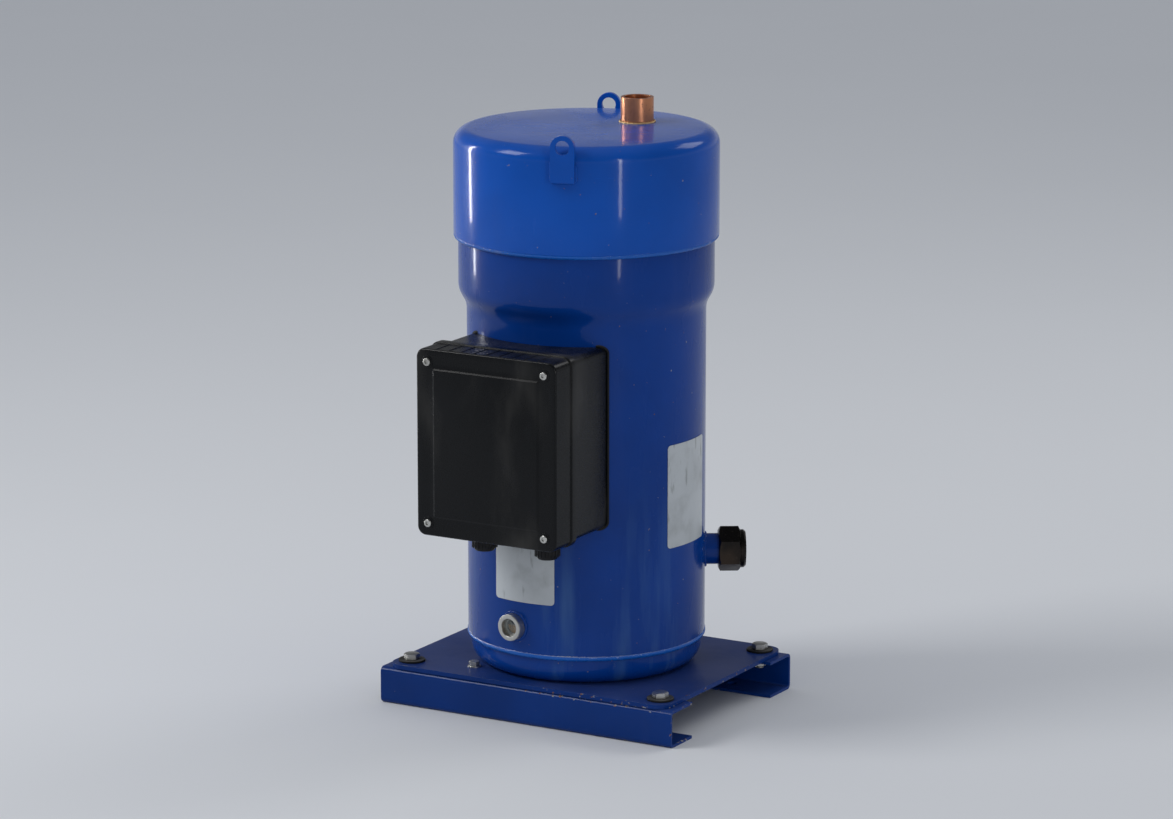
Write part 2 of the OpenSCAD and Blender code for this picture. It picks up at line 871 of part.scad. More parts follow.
module terminal_box_base() {
    base_front = box_split + box_rim_lap;
    post_front = box_front - cover_panel_t - box_wall;
    inner_depth = base_front - box_root;
    color(black)
        difference() {
            union() {
                difference() {
                    from_front(base_front, inner_depth) rounded_rect(box_w, box_h, box_corner_r);
                    difference() {
                        from_front(base_front + over, inner_depth + over)
                            rounded_rect(box_w - 2 * box_wall, box_h - 2 * box_wall, box_corner_r - box_wall);
                        cylinder(r = shell_r + box_wall, h = cap_top);
                    }
                }
                at_cover_screws(box_root) cylinder(d = post_d, h = post_front - box_root);
            }
            cylinder(r = shell_r, h = cap_top);
            at_cover_screws(post_front - screw_hole_depth) cylinder(d = screw_d, h = screw_hole_depth + over);
            at_azimuth(0, shell_r - 40, terminal_z) cylinder(d = terminal_plate_d, h = 80);
            gland_places() translate([0, 0, -over]) cylinder(d = gland_thread_d, h = box_wall + 2 * over);
        }
}

module terminal_box_cover() {
    tray = cover_depth - cover_panel_t;
    corner_r = box_corner_r + box_wall;
    color(black)
        difference() {
            union() {
                from_front(box_front - cover_panel_t, tray) rounded_rect(cover_w, cover_h, corner_r);
                from_front(box_split + cover_band, cover_band)
                    rounded_rect(cover_w + 2 * cover_band_t, cover_h + 2 * cover_band_t, corner_r + cover_band_t);
                from_front(box_front, 2 * cover_panel_t)
                    rounded_rect(cover_w - 2 * panel_inset_x, cover_h - 2 * panel_inset_z, box_corner_r);
            }
            from_front(box_front - cover_panel_t - box_wall, tray)
                rounded_rect(box_w + 2 * cover_gap, box_h + 2 * cover_gap, box_corner_r + cover_gap);
            at_cover_screws(box_front - cover_panel_t - box_wall - over)
                cylinder(d = screw_d, h = box_wall + 2 * over);
        }
}

module cover_screws() {
    color(steel)
        at_cover_screws(box_front - cover_panel_t) {
            difference() {
                cylinder(d = screw_head_d, h = screw_head_h);
                translate([0, 0, screw_head_h - screw_socket_depth]) hexagon(screw_socket_af, screw_head_h);
            }
            translate([0, 0, -screw_l]) cylinder(d = screw_d, h = screw_l);
        }
}

gland_hex_h = 10;
gland_dome_h = 24;
gland_thread_l = 14;
locknut_h = 6;

module cable_glands() {
    total = gland_hex_h + gland_dome_h + gland_thread_l;
    color(black)
        gland_places()
            difference() {
                union() {
                    translate([0, 0, -gland_hex_h]) hexagon(gland_af, gland_hex_h);
                    cylinder(d = gland_thread_d, h = gland_thread_l);
                    translate([0, 0, -gland_hex_h - gland_dome_h + 8])
                        hexagon(gland_af - 2, gland_dome_h - 9);
                    translate([0, 0, -gland_hex_h - gland_dome_h])
                        cylinder(d1 = gland_bore_d + 6, d2 = gland_af - 4, h = 8);
                    translate([0, 0, -gland_hex_h - 1]) cylinder(d = gland_af - 5, h = 1);
                }
                translate([0, 0, -gland_hex_h - gland_dome_h - over]) cylinder(d = gland_bore_d, h = total + 2 * over);
                cylinder(d = gland_bore_d + 6, h = gland_thread_l + over);
            }
}

module gland_locknuts() {
    color(steel)
        gland_places()
            translate([0, 0, box_wall])
                difference() {
                    hexagon(gland_af, locknut_h);
                    translate([0, 0, -over]) cylinder(d = gland_thread_d, h = locknut_h + 2 * over);
                }
}

// Places children at the three pins, with +Z pointing out of the shell from radius r.
module at_pins(r) {
    at_azimuth(0, r, terminal_z)
        for (turn = [90, 210, 330])
            rotate([0, 0, turn])
                translate([terminal_pcd / 2, 0, 0])
                    children();
}

plate_out = 6;
pin_in = 27;
pin_out = 30;
plate_t = 16;
insulator_in = 2;
insulator_out = 4;
block_gap = 4;
block_inset = 4;
block_t = 6;
fence_t = 3;
fence_h = 18;
fence_end_gap = 1;

module terminal_plate() {
    color(steel)
        difference() {
            at_azimuth(0, shell_r + plate_out - plate_t, terminal_z) cylinder(d = terminal_plate_d, h = plate_t);
            at_pins(shell_r - 40) cylinder(d = insulator_d, h = 80);
        }
}

module pin_insulators() {
    color("tan")
        at_pins(shell_r + plate_out - plate_t - insulator_in)
            tube(insulator_d / 2, terminal_pin_d / 2, insulator_in + plate_t + insulator_out);
}

module terminal_pins() {
    color(copper)
        at_pins(shell_in_r - pin_in) cylinder(d = terminal_pin_d, h = shell_wall + pin_in + pin_out);
}

module terminal_block() {
    start = shell_r + plate_out + block_gap;
    block_r = terminal_plate_d / 2 - block_inset;
    color("saddlebrown")
        difference() {
            at_azimuth(0, start, terminal_z) {
                cylinder(r = block_r, h = block_t);
                for (turn = [30, 150, 270])
                    rotate([0, 0, turn])
                        translate([0, -fence_t / 2, 0])
                            cube([block_r - fence_end_gap, fence_t, fence_h]);
            }
            at_pins(start - over) cylinder(d = terminal_pin_d, h = block_t + 2 * over);
        }
}

module motor_protector() {
    color([0.15, 0.16, 0.18])
        difference() {
            translate([0, -(shell_r + protector_depth), module_z])
                rotate([-90, 0, 0])
                    linear_extrude(height = protector_depth + protector_w / 6)
                        rounded_rect(protector_w, protector_h, protector_h / 14);
            cylinder(r = shell_r + box_wall, h = cap_top);
            translate([0, -(shell_r + protector_depth - 6), module_z + protector_h / 3])
                rotate([90, 0, 0])
                    linear_extrude(height = protector_depth)
                        square([protector_w - 14, protector_h / 5], center = true);
        }
}

module motor_leads() {
    color("firebrick")
        difference() {
            at_pins(end_turn_outer_d / 2 - 10)
                cylinder(d = terminal_pin_d + 3, h = shell_in_r - pin_in + 12 - end_turn_outer_d / 2 + 10);
            cylinder(d = end_turn_outer_d, h = cap_top);
            at_pins(shell_in_r - pin_in) cylinder(d = terminal_pin_d, h = 40);
        }
}

// ---- Lower bearing ----

module lower_bearing_bracket() {
    color(iron)
        difference() {
            union() {
                translate([0, 0, bracket_z]) cylinder(d = lower_hub_d, h = lower_hub_h);
                intersection() {
                    translate([0, 0, bracket_z]) cylinder(r = shell_in_r, h = lower_hub_h);
                    for (turn = [45, 135, 225, 315])
                        rotate([0, 0, turn]) {
                            translate([0, -arm_w / 2, bracket_z]) cube([shell_in_r, arm_w, arm_h]);
                            translate([shell_in_r - 14, -arm_w, bracket_z]) cube([14, 2 * arm_w, arm_h + 6]);
                        }
                }
            }
            translate([0, 0, bracket_z + lower_floor_t]) cylinder(d = lower_bush_d, h = lower_hub_h);
            translate([0, 0, bracket_z - over]) cylinder(d = pickup_d + 4, h = lower_hub_h);
        }
}

module lower_bearing_bush() {
    start = shaft_bottom;
    color("goldenrod")
        translate([0, 0, start]) tube(lower_bush_d / 2, lower_journal_d / 2 + journal_gap, lower_hub_top - start);
}

module thrust_washer() {
    color("goldenrod")
        translate([0, 0, bracket_z + lower_floor_t])
            tube(lower_bush_d / 2, pickup_d / 2 + 2, thrust_washer_t - run_gap);
}

// ---- Motor ----

rotor_r = rotor_d / 2;
stator_bore_r = rotor_r + air_gap;
slot_in_r = end_turn_inner_d / 2 - 1;
slot_out_r = end_turn_outer_d / 2;
slot_liner = 0.5;

// Section of one slot, narrowed all round by the given margin.
module slot_section(margin) {
    half_in = 3.1 - margin;
    half_out = half_in + (slot_out_r - slot_in_r) * tan(180 / slot_count);
    polygon([
        [slot_in_r + margin, -half_in],
        [slot_out_r - margin, -half_out],
        [slot_out_r - margin, half_out],
        [slot_in_r + margin, half_in]
    ]);
}

module at_stator_bolts() {
    for (turn = [45, 135, 225, 315])
        rotate([0, 0, turn])
            translate([stator_bolt_pcd / 2, 0, 0])
                children();
}

module stator_core() {
    color(iron)
        translate([0, 0, stator_bottom])
            linear_extrude(height = stator_l)
                difference() {
                    circle(d = stator_d);
                    circle(r = stator_bore_r);
                    for (i = [0 : slot_count - 1])
                        rotate(360 / slot_count * i) {
                            slot_section(0);
                            translate([stator_bore_r - 2, -1.5]) square([slot_in_r - stator_bore_r + 3, 3]);
                        }
                    for (turn = [0, 90, 180, 270])
                        rotate(turn) translate([stator_d / 2 + 4, 0]) circle(r = 12);
                    at_stator_bolts() circle(d = stator_bolt_d);
                }
}

module end_turns() {
    w = (end_turn_outer_d - end_turn_inner_d) / 2;
    rotate_extrude()
        translate([end_turn_inner_d / 2 + w / 2, 0]) {
            translate([-w / 2, 0]) square([w, end_turn_h - 12]);
            translate([-w / 2 + 12, 0]) square([w - 24, end_turn_h]);
            for (x = [-1, 1])
                translate([x * (w / 2 - 12), end_turn_h - 12]) circle(r = 12);
        }
}

module stator_windings() {
    color(copper) {
        translate([0, 0, stator_bottom - over])
            linear_extrude(height = stator_l + 2 * over)
                for (i = [0 : slot_count - 1])
                    rotate(360 / slot_count * i) slot_section(slot_liner);
        translate([0, 0, stator_top]) end_turns();
        translate([0, 0, stator_bottom]) mirror([0, 0, 1]) end_turns();
    }
}

module stator_bolts() {
    color(steel)
        at_stator_bolts()
            translate([0, 0, stator_bottom]) {
                cylinder(d = stator_bolt_d, h = stator_l + stator_bolt_grip);
                translate([0, 0, -7]) hexagon(16, 7);
            }
}

bar_r = end_ring_d / 2 - bar_d / 2 - 1;

module at_bars() {
    for (i = [0 : bar_count - 1])
        rotate(360 / bar_count * i)
            translate([bar_r, 0])
                children();
}

module rotor_core() {
    color(iron)
        translate([0, 0, stator_bottom])
            linear_extrude(height = stator_l)
                difference() {
                    circle(d = rotor_d);
                    circle(d = shaft_d);
                    at_bars() circle(d = bar_d);
                }
}

module rotor_cage() {
    color("gainsboro") {
        translate([0, 0, stator_bottom - over])
            linear_extrude(height = stator_l + 2 * over)
                at_bars() circle(d = bar_d);
        for (z = [stator_bottom - end_ring_h, stator_top])
            translate([0, 0, z]) tube(end_ring_d / 2, end_ring_d / 2 - 20, end_ring_h);
    }
}

// Half of a ring on one side, from angle start to start + sweep.
module part_ring(r_out, r_in, h, start, sweep) {
    rotate([0, 0, start])
        rotate_extrude(angle = sweep)
            translate([r_in, 0]) square([r_out - r_in, h]);
}

module lower_counterweight() {
    color(iron)
        translate([0, 0, stator_bottom - end_ring_h - lower_weight_h])
            part_ring(end_ring_d / 2, shaft_d / 2, lower_weight_h, 10, 160);
}

module upper_counterweight() {
    reach = cavity_d / 2 - 3;
    clear_r = hub_d / 2 + orbit + 2;
    color(iron)
        difference() {
            union() {
                translate([0, 0, crank_z]) cylinder(r = clear_r + 2, h = counterweight_web_t);
                translate([0, 0, crank_z])
                    part_ring(reach, clear_r, counterweight_top - crank_z, 195, 150);
            }
            translate([0, orbit, crank_z - over])
                cylinder(d = crank_pin_d, h = counterweight_web_t + 2 * over);
        }
}

// ---- Crankshaft ----

module crankshaft() {
    color(steel)
        difference() {
            union() {
                translate([0, 0, shaft_bottom]) cylinder(d = lower_journal_d, h = frame_hub_z - shaft_bottom);
                translate([0, 0, shaft_shoulder_z]) cylinder(d = shaft_d, h = main_journal_z - shaft_shoulder_z);
                translate([0, 0, main_journal_z]) cylinder(d = main_journal_d, h = collar_z - main_journal_z);
                translate([0, 0, collar_z]) cylinder(d = main_journal_d + 14, h = collar_t);
                translate([0, orbit, collar_z]) cylinder(d = crank_pin_d, h = pin_top - collar_z);
            }
            translate([0, 0, shaft_bottom - over]) cylinder(d = pickup_d, h = 16);
            translate([0, gallery_x, shaft_bottom]) cylinder(d = gallery_d, h = pin_top);
        }
}

module oil_pickup_tube() {
    mouth = base_top + shell_wall + pickup_to_floor;
    color(copper)
        translate([0, 0, mouth]) tube(pickup_d / 2, pickup_d / 2 - 2, shaft_bottom + 15 - mouth);
}

module drive_bush() {
    start = crank_z + counterweight_web_t + run_gap;
    color("goldenrod")
        translate([0, orbit, start]) tube(drive_bush_d / 2, crank_pin_d / 2, pin_top - start);
}

// ---- Main bearing housing ----

module main_bearing_housing() {
    color(iron)
        difference() {
            union() {
                rotate_extrude()
                    polygon([
                        [main_bush_d / 2, frame_hub_z],
                        [main_hub_d / 2, frame_hub_z],
                        [main_hub_d / 2, frame_hub_z + 26],
                        [cavity_d / 2 + 8, cavity_floor - 16],
                        [shell_in_r - 5, frame_edge_z - 8],
                        [upper_in_r, frame_edge_z],
                        [upper_in_r, frame_top],
                        [pocket_r, frame_top],
                        [pocket_r, pocket_floor],
                        [thrust_r, pocket_floor],
                        [thrust_r, thrust_z],
                        [cavity_d / 2, thrust_z],
                        [cavity_d / 2, cavity_floor],
                        [main_bush_d / 2, cavity_floor]
                    ]);
                at_stator_bolts()
                    translate([0, 0, stator_top]) cylinder(d = leg_d, h = pocket_floor - 10 - stator_top);
            }
            at_stator_bolts()
                translate([0, 0, stator_top - over]) cylinder(d = stator_bolt_d, h = stator_bolt_grip + over);
            at_fixed_bolts()
                translate([0, 0, frame_top - fixed_bolt_grip]) cylinder(d = fixed_bolt_d, h = fixed_bolt_grip + over);
            for (turn = [0, 180])
                rotate([0, 0, turn]) {
                    oldham_down_slot();
                    translate([upper_in_r - 15, -30, frame_edge_z - 20]) cube([40, 60, frame_rim_h + 40]);
                }
        }
}

// Slot in the pocket floor that guides a downward key along X.
module oldham_down_slot() {
    length = oldham_key_l + 2 * (orbit + slot_end_gap);
    width = oldham_key_w + 2 * key_clearance;
    depth = oldham_key_down_h + 2;
    translate([oldham_key_r - length / 2, -width / 2, pocket_floor - depth])
        cube([length, width, depth + over]);
}

module main_bearing_bush() {
    color("goldenrod")
        translate([0, 0, frame_hub_z])
            tube(main_bush_d / 2, main_journal_d / 2 + journal_gap, main_bearing_l - 2);
}

// ---- Scroll set ----

// One wrap standing on z = 0. Each half turn is an arc, its centre on the other side of the axis from
// the last one and its radius half a pitch larger, so arcs of the two scrolls stay parallel as they orbit.
module wrap(turns) {
    for (k = [0 : turns - 1]) {
        mid_r = wrap_core_r + k * scroll_pitch / 2;
        side = k % 2 == 0 ? -1 : 1;
        translate([side * wrap_centre, 0, 0])
            part_ring(mid_r + wrap_t / 2, mid_r - wrap_t / 2, wrap_h, side < 0 ? 0 : 180, 180);
    }
    translate([wrap_core_r - wrap_centre, 0, 0]) cylinder(d = wrap_t, h = wrap_h);
}

module orbiting_wrap() {
    last_r = wrap_core_r + (half_turns - 1) * scroll_pitch / 2;
    end_x = half_turns % 2 == 0 ? wrap_centre + last_r : -wrap_centre - last_r;
    wrap(half_turns);
    translate([end_x, 0, 0]) cylinder(d = wrap_t, h = wrap_h);
}

// Notch in the plate for an upward Oldham key. It is wide enough for the ring at either end of its slide.
module oldham_up_slot() {
    width = oldham_key_w + 2 * (2 * orbit + key_clearance);
    inner_end = oldham_key_r - oldham_key_l / 2 - orbit - slot_end_gap;
    translate([-width / 2, inner_end, plate_bottom - over])
        cube([width, orbiting_plate_d, oldham_top + oldham_key_up_h + slot_end_gap - plate_bottom + over]);
}

module orbiting_scroll() {
    color("lightsteelblue")
        translate([0, orbit, 0])
            difference() {
                union() {
                    translate([0, 0, plate_bottom]) cylinder(d = orbiting_plate_d, h = orbiting_plate_t);
                    translate([0, 0, hub_z]) cylinder(d = hub_d, h = hub_h + over);
                    translate([0, 0, plate_top]) orbiting_wrap();
                }
                translate([0, 0, hub_z - over]) cylinder(d = hub_bearing_d, h = hub_h - 2 + over);
                translate([-wrap_centre, 0, plate_top - 3]) cylinder(d = port_d, h = 3 + over);
                for (turn = [0, 180])
                    rotate([0, 0, turn]) oldham_up_slot();
            }
}

module orbiting_bearing() {
    color("goldenrod")
        translate([0, orbit, hub_z])
            tube(hub_bearing_d / 2, drive_bush_d / 2 + journal_gap, hub_h - 3);
}

module oldham_ring() {
    color("gainsboro") {
        translate([0, 0, oldham_z]) tube(oldham_out_r, oldham_in_r, oldham_ring_t);
        for (side = [-1, 1]) {
            translate([side * oldham_key_r - oldham_key_l / 2, -oldham_key_w / 2, oldham_z - oldham_key_down_h])
                cube([oldham_key_l, oldham_key_w, oldham_key_down_h + over]);
            translate([-oldham_key_w / 2, side * oldham_key_r - oldham_key_l / 2, oldham_top - over])
                cube([oldham_key_w, oldham_key_l, oldham_key_up_h + over]);
        }
    }
}

module at_fixed_bolts() {
    for (i = [0 : fixed_bolt_count - 1])
        rotate([0, 0, 360 / fixed_bolt_count * (i + 0.5)])
            translate([fixed_bolt_r, 0, 0])
                children();
}

// The space that the wraps work in: two half discs that follow the outermost walls.
module scroll_pocket() {
    last_r = wrap_core_r + (half_turns - 1) * scroll_pitch / 2 - wrap_t / 2;
    depth = fixed_face - plate_top;
    translate([-wrap_centre, 0, plate_top]) part_ring(last_r, 0, depth, 0, 180);
    translate([wrap_centre, 0, plate_top]) part_ring(last_r + scroll_pitch / 2, 0, depth, 180, 180);
}

module suction_slot() {
    start = wrap_core_r + (half_turns - 1) * scroll_pitch / 2 - wrap_centre - wrap_t;
    translate([start, -6, plate_top]) cube([fixed_flange_r, suction_slot_w, fixed_face - plate_top]);
}

module fixed_scroll() {
    skirt = plate_top + tip_clearance;
    color("slategray")
        difference() {
            union() {
                difference() {
                    union() {
                        translate([0, 0, skirt]) cylinder(r = fixed_body_r, h = fixed_top - skirt);
                        translate([0, 0, frame_top]) cylinder(r = fixed_flange_r, h = fixed_flange_t);
                    }
                    scroll_pocket();
                    for (turn = [0, 180])
                        rotate([0, 0, turn]) suction_slot();
                }
                rotate([0, 0, 180]) translate([0, 0, skirt]) wrap(half_turns - 1);
            }
            translate([wrap_centre, 0, fixed_face - over]) cylinder(d = port_d, h = fixed_plate_t + 2 * over);
            translate([0, 0, fixed_face + port_floor_t]) cylinder(d = port_chamber_d, h = fixed_plate_t);
            at_fixed_bolts()
                translate([0, 0, frame_top - over]) cylinder(d = fixed_bolt_d, h = fixed_flange_t + 2 * over);
        }
}

module fixed_scroll_bolts() {
    color(steel)
        at_fixed_bolts() {
            translate([0, 0, frame_top - fixed_bolt_grip]) cylinder(d = fixed_bolt_d, h = fixed_bolt_grip + fixed_flange_t);
            translate([0, 0, flange_top])
                difference() {
                    cylinder(d = fixed_head_d, h = fixed_head_h);
                    translate([0, 0, fixed_head_h / 2]) hexagon(8, fixed_head_h);
                }
        }
}

module discharge_seal() {
    color("ivory")
        translate([0, 0, fixed_top]) tube(seal_out_r, seal_out_r - seal_w, seal_h);
}

// ---- Discharge check valve ----

valve_bore_d = 22;
valve_flange_d = 76;
valve_flange_t = 6;
valve_disc_d = 36;
valve_disc_t = 3;
valve_lift = 5;
guard_t = 4;
guard_leg_r = 28;
seat_top = partition_top + valve_flange_t;
disc_z = seat_top + run_gap;
guard_z = disc_z + valve_disc_t + valve_lift + run_gap;

module valve_seat() {
    color(steel)
        difference() {
            union() {
                translate([0, 0, fixed_top]) cylinder(d = seat_spigot_d, h = seat_top - fixed_top);
                translate([0, 0, partition_top]) cylinder(d = valve_flange_d, h = valve_flange_t);
            }
            translate([0, 0, fixed_top - over]) cylinder(d = valve_bore_d, h = seat_top - fixed_top + 2 * over);
        }
}

module valve_disc() {
    color("steelblue")
        translate([0, 0, disc_z]) cylinder(d = valve_disc_d, h = valve_disc_t);
}

module valve_guard() {
    color(steel) {
        difference() {
            translate([0, 0, guard_z]) cylinder(r = guard_leg_r + 5, h = guard_t);
            for (turn = [60, 180, 300])
                rotate([0, 0, turn])
                    translate([14, 0, guard_z - over])
                        cylinder(d = 12, h = guard_t + 2 * over);
        }
        for (turn = [0, 120, 240])
            rotate([0, 0, turn])
                translate([guard_leg_r, 0, seat_top])
                    cylinder(d = 8, h = guard_z - seat_top + over);
    }
}

rail_front();
rail_rear();
base_plate();
base_bolts();
base_washers();
base_nuts();
bottom_cap();
main_shell();
weld_beads();
top_cap();
partition_plate();
suction_fitting();
discharge_fitting();
sight_glass_body();
sight_glass_lens();
equalisation_fitting();
equalisation_seal();
equalisation_cap_nut();
service_ports();
service_port_caps();
lifting_lugs();
ground_screw();
terminal_box_base();
terminal_box_cover();
cover_screws();
cable_glands();
gland_locknuts();
terminal_plate();
terminal_pins();
pin_insulators();
terminal_block();
motor_protector();
motor_leads();
lower_bearing_bracket();
lower_bearing_bush();
thrust_washer();
stator_core();
stator_windings();
stator_bolts();
main_bearing_housing();
main_bearing_bush();
fixed_scroll();
fixed_scroll_bolts();
discharge_seal();
valve_seat();
valve_guard();
valve_disc();
orbiting_scroll();
orbiting_bearing();
oldham_ring();
crankshaft();
drive_bush();
rotor_core();
rotor_cage();
upper_counterweight();
lower_counterweight();
oil_pickup_tube();
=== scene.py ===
"""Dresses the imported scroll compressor: finishes, welds, fasteners, plates, windings, light and camera."""

import json
import logging
import math
from collections.abc import Iterable, Mapping, Sequence
from dataclasses import dataclass, field
from enum import Enum

import bmesh
import bpy
from mathutils import Euler, Matrix, Vector

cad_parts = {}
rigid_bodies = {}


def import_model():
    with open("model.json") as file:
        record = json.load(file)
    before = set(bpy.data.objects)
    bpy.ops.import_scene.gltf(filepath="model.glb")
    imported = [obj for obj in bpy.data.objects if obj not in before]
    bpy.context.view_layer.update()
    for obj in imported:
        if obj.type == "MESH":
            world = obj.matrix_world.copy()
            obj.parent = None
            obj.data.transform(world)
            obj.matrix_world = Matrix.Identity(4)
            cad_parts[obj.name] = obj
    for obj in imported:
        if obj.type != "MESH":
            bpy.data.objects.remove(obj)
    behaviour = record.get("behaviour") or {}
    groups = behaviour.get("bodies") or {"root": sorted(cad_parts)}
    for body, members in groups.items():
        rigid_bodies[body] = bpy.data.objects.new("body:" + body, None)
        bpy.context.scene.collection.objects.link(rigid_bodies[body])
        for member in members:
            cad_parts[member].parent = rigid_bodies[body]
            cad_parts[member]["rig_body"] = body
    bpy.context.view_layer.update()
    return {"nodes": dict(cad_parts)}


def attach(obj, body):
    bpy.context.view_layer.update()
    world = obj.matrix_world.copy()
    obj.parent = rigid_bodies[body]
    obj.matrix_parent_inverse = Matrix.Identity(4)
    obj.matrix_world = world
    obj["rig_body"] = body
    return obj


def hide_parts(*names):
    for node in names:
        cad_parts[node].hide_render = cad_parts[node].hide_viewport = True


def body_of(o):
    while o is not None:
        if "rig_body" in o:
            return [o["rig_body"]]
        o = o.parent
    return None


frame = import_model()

log = logging.getLogger("compressor")
Colour = tuple[float, float, float]
Pair = tuple[float, float]
MM = 0.001
EDGE = 0.3 * MM
CAST_EDGE = 0.8 * MM
SHELL_R = 0.160
CAP_TOP = 0.782


def shade(colour: Colour, factor: float) -> Colour:
    """Returns a colour made lighter or darker by a factor."""
    return tuple(min(1.0, c * factor) for c in colour)


# ---- Node trees written as expressions ----


class Signal:
    """An output socket that takes part in ordinary arithmetic."""

    def __init__(self, graph: "Graph", socket: bpy.types.NodeSocket) -> None:
        """Wraps one output of a node in a graph."""
        self.graph, self.socket = graph, socket

    def _maths(self, operation: str, *values: object) -> "Signal":
        """Returns the result of a Math node on the given values."""
        return self.graph.node("ShaderNodeMath", {"operation": operation}, dict(enumerate(values)))

    def __add__(self, other: object) -> "Signal":
        """Sum."""
        return self._maths("ADD", self, other)

    def __sub__(self, other: object) -> "Signal":
        """Difference."""
        return self._maths("SUBTRACT", self, other)

    def __rsub__(self, other: object) -> "Signal":
        """Difference from a number."""
        return self._maths("SUBTRACT", other, self)

    def __mul__(self, other: object) -> "Signal":
        """Product."""
        return self._maths("MULTIPLY", self, other)

    def __truediv__(self, other: object) -> "Signal":
        """Quotient."""
        return self._maths("DIVIDE", self, other)

    def __pow__(self, other: object) -> "Signal":
        """Power."""
        return self._maths("POWER", self, other)

    def __mod__(self, other: object) -> "Signal":
        """Remainder."""
        return self._maths("MODULO", self, other)

    __radd__ = __add__
    __rmul__ = __mul__

    def floor(self) -> "Signal":
        """Whole part."""
        return self._maths("FLOOR", self)

    def sine(self) -> "Signal":
        """Sine of an angle in radians."""
        return self._maths("SINE", self)

    def cosine(self) -> "Signal":
        """Cosine of an angle in radians."""
        return self._maths("COSINE", self)

    def magnitude(self) -> "Signal":
        """The value without its sign."""
        return self._maths("ABSOLUTE", self)

    def larger(self, other: object) -> "Signal":
        """The larger of two values."""
        return self._maths("MAXIMUM", self, other)

    def twin(self, name: str) -> "Signal":
        """Another output of the same node."""
        return Signal(self.graph, self.socket.node.outputs[name])


class Graph:
    """A node tree that one method fills."""

    def __init__(self, tree: bpy.types.NodeTree) -> None:
        """Starts on a node tree."""
        self.tree = tree

    def node(
        self,
        kind: str,
        settings: Mapping[str, object] | None = None,
        sockets: Mapping[int | str, object] | None = None,
        output: int | str = 0,
    ) -> Signal:
        """Adds a node.

        Args:
            kind: The node's type.
            settings: Its properties, which are set first.
            sockets: Values or signals of its inputs, by name or by number.
            output: The output to return.

        Returns:
            That output.
        """
        made = self.tree.nodes.new(kind)
        for key, value in (settings or {}).items():
            setattr(made, key, value)
        for key, value in (sockets or {}).items():
            if isinstance(value, Signal):
                self.tree.links.new(value.socket, made.inputs[key])
            else:
                made.inputs[key].default_value = value
        return Signal(self, made.outputs[output])

    def vector(self, x: object, y: object, z: object) -> Signal:
        """Returns a vector of three numbers or signals."""
        return self.node("ShaderNodeCombineXYZ", None, {0: x, 1: y, 2: z})


class Shader(Graph):
    """The nodes of one material, which end in a Principled surface."""

    def __init__(self, name: str) -> None:
        """Makes an empty material.

        Args:
            name: Name of the material.
        """
        self.material = bpy.data.materials.new(name)
        self.material.use_nodes = True
        super().__init__(self.material.node_tree)
        self.surface = self.tree.nodes["Principled BSDF"]
        self.place = self.node("ShaderNodeTexCoord", output="Object")

    def set(self, **sockets: object) -> None:
        """Sets or links the surface's inputs, with _ for a space in a name.

        Args:
            sockets: Values or signals by the inputs' names.
        """
        for key, value in sockets.items():
            target = self.surface.inputs[key.replace("_", " ")]
            if isinstance(value, Signal):
                self.tree.links.new(value.socket, target)
            elif isinstance(value, tuple):
                target.default_value = (*value, 1.0)
            else:
                target.default_value = value

    def axis(self, name: str, source: Signal | None = None) -> Signal:
        """Returns the X, Y or Z of the place on the object, or of another vector."""
        return self.node("ShaderNodeSeparateXYZ", None, {0: source or self.place}, name)

    def up(self) -> Signal:
        """Returns how far the surface faces up, from -1 to 1."""
        return self.axis("Z", self.node("ShaderNodeNewGeometry", output="Normal"))

    def radius(self) -> Signal:
        """Returns the distance from the shaft's axis."""
        return (self.axis("X") ** 2.0 + self.axis("Y") ** 2.0) ** 0.5

    def stretched(self, x: float, y: float, z: float) -> Signal:
        """Returns the place scaled by a factor along each axis."""
        return self.node("ShaderNodeMapping", None, {"Vector": self.place, "Scale": (x, y, z)})

    def noise(self, scale: float, detail: float = 3.0, at: Signal | None = None) -> Signal:
        """Returns soft noise between 0 and 1 with that many features to the metre."""
        sockets = {"Vector": at or self.place, "Scale": scale, "Detail": detail}
        return self.node("ShaderNodeTexNoise", None, sockets)

    def cells(self, scale: float) -> Signal:
        """Returns the distance to the nearest of many scattered points."""
        return self.node("ShaderNodeTexVoronoi", None, {"Vector": self.place, "Scale": scale})

    def fade(self, value: Signal, low: float, high: float) -> Signal:
        """Returns 0 below one limit, 1 above the other and a smooth step between."""
        sockets = {"Value": value, "From Min": low, "From Max": high}
        return self.node("ShaderNodeMapRange", {"interpolation_type": "SMOOTHSTEP"}, sockets)

    def blend(self, mask: object, first: object, second: object) -> Signal:
        """Returns the first colour where the mask is 0 and the second where it is 1.

        Args:
            mask: Share of the second colour.
            first: A colour or a signal.
            second: A colour or a signal.

        Returns:
            The mixed colour.
        """
        settings = {"data_type": "RGBA", "clamp_factor": True}
        full = [(*c, 1.0) if isinstance(c, tuple) else c for c in (first, second)]
        return self.node("ShaderNodeMix", settings, {0: mask, 6: full[0], 7: full[1]}, 2)

    def relief(self, height: Signal, depth: float) -> Signal:
        """Returns the normal of a surface whose height of 0 to 1 stands for that depth in metres."""
        sockets = {"Strength": 1.0, "Distance": depth, "Height": height}
        return self.node("ShaderNodeBump", None, sockets, "Normal")


def settled(holder: bpy.types.Object) -> bpy.types.Mesh:
    """Works out an object's modifiers, takes the object away and returns the plain mesh.

    Args:
        holder: The object.

    Returns:
        The mesh.
    """
    holder.update_tag()
    graph = bpy.context.evaluated_depsgraph_get()
    mesh = bpy.data.meshes.new_from_object(holder.evaluated_get(graph), depsgraph=graph)
    bpy.data.objects.remove(holder)
    return mesh


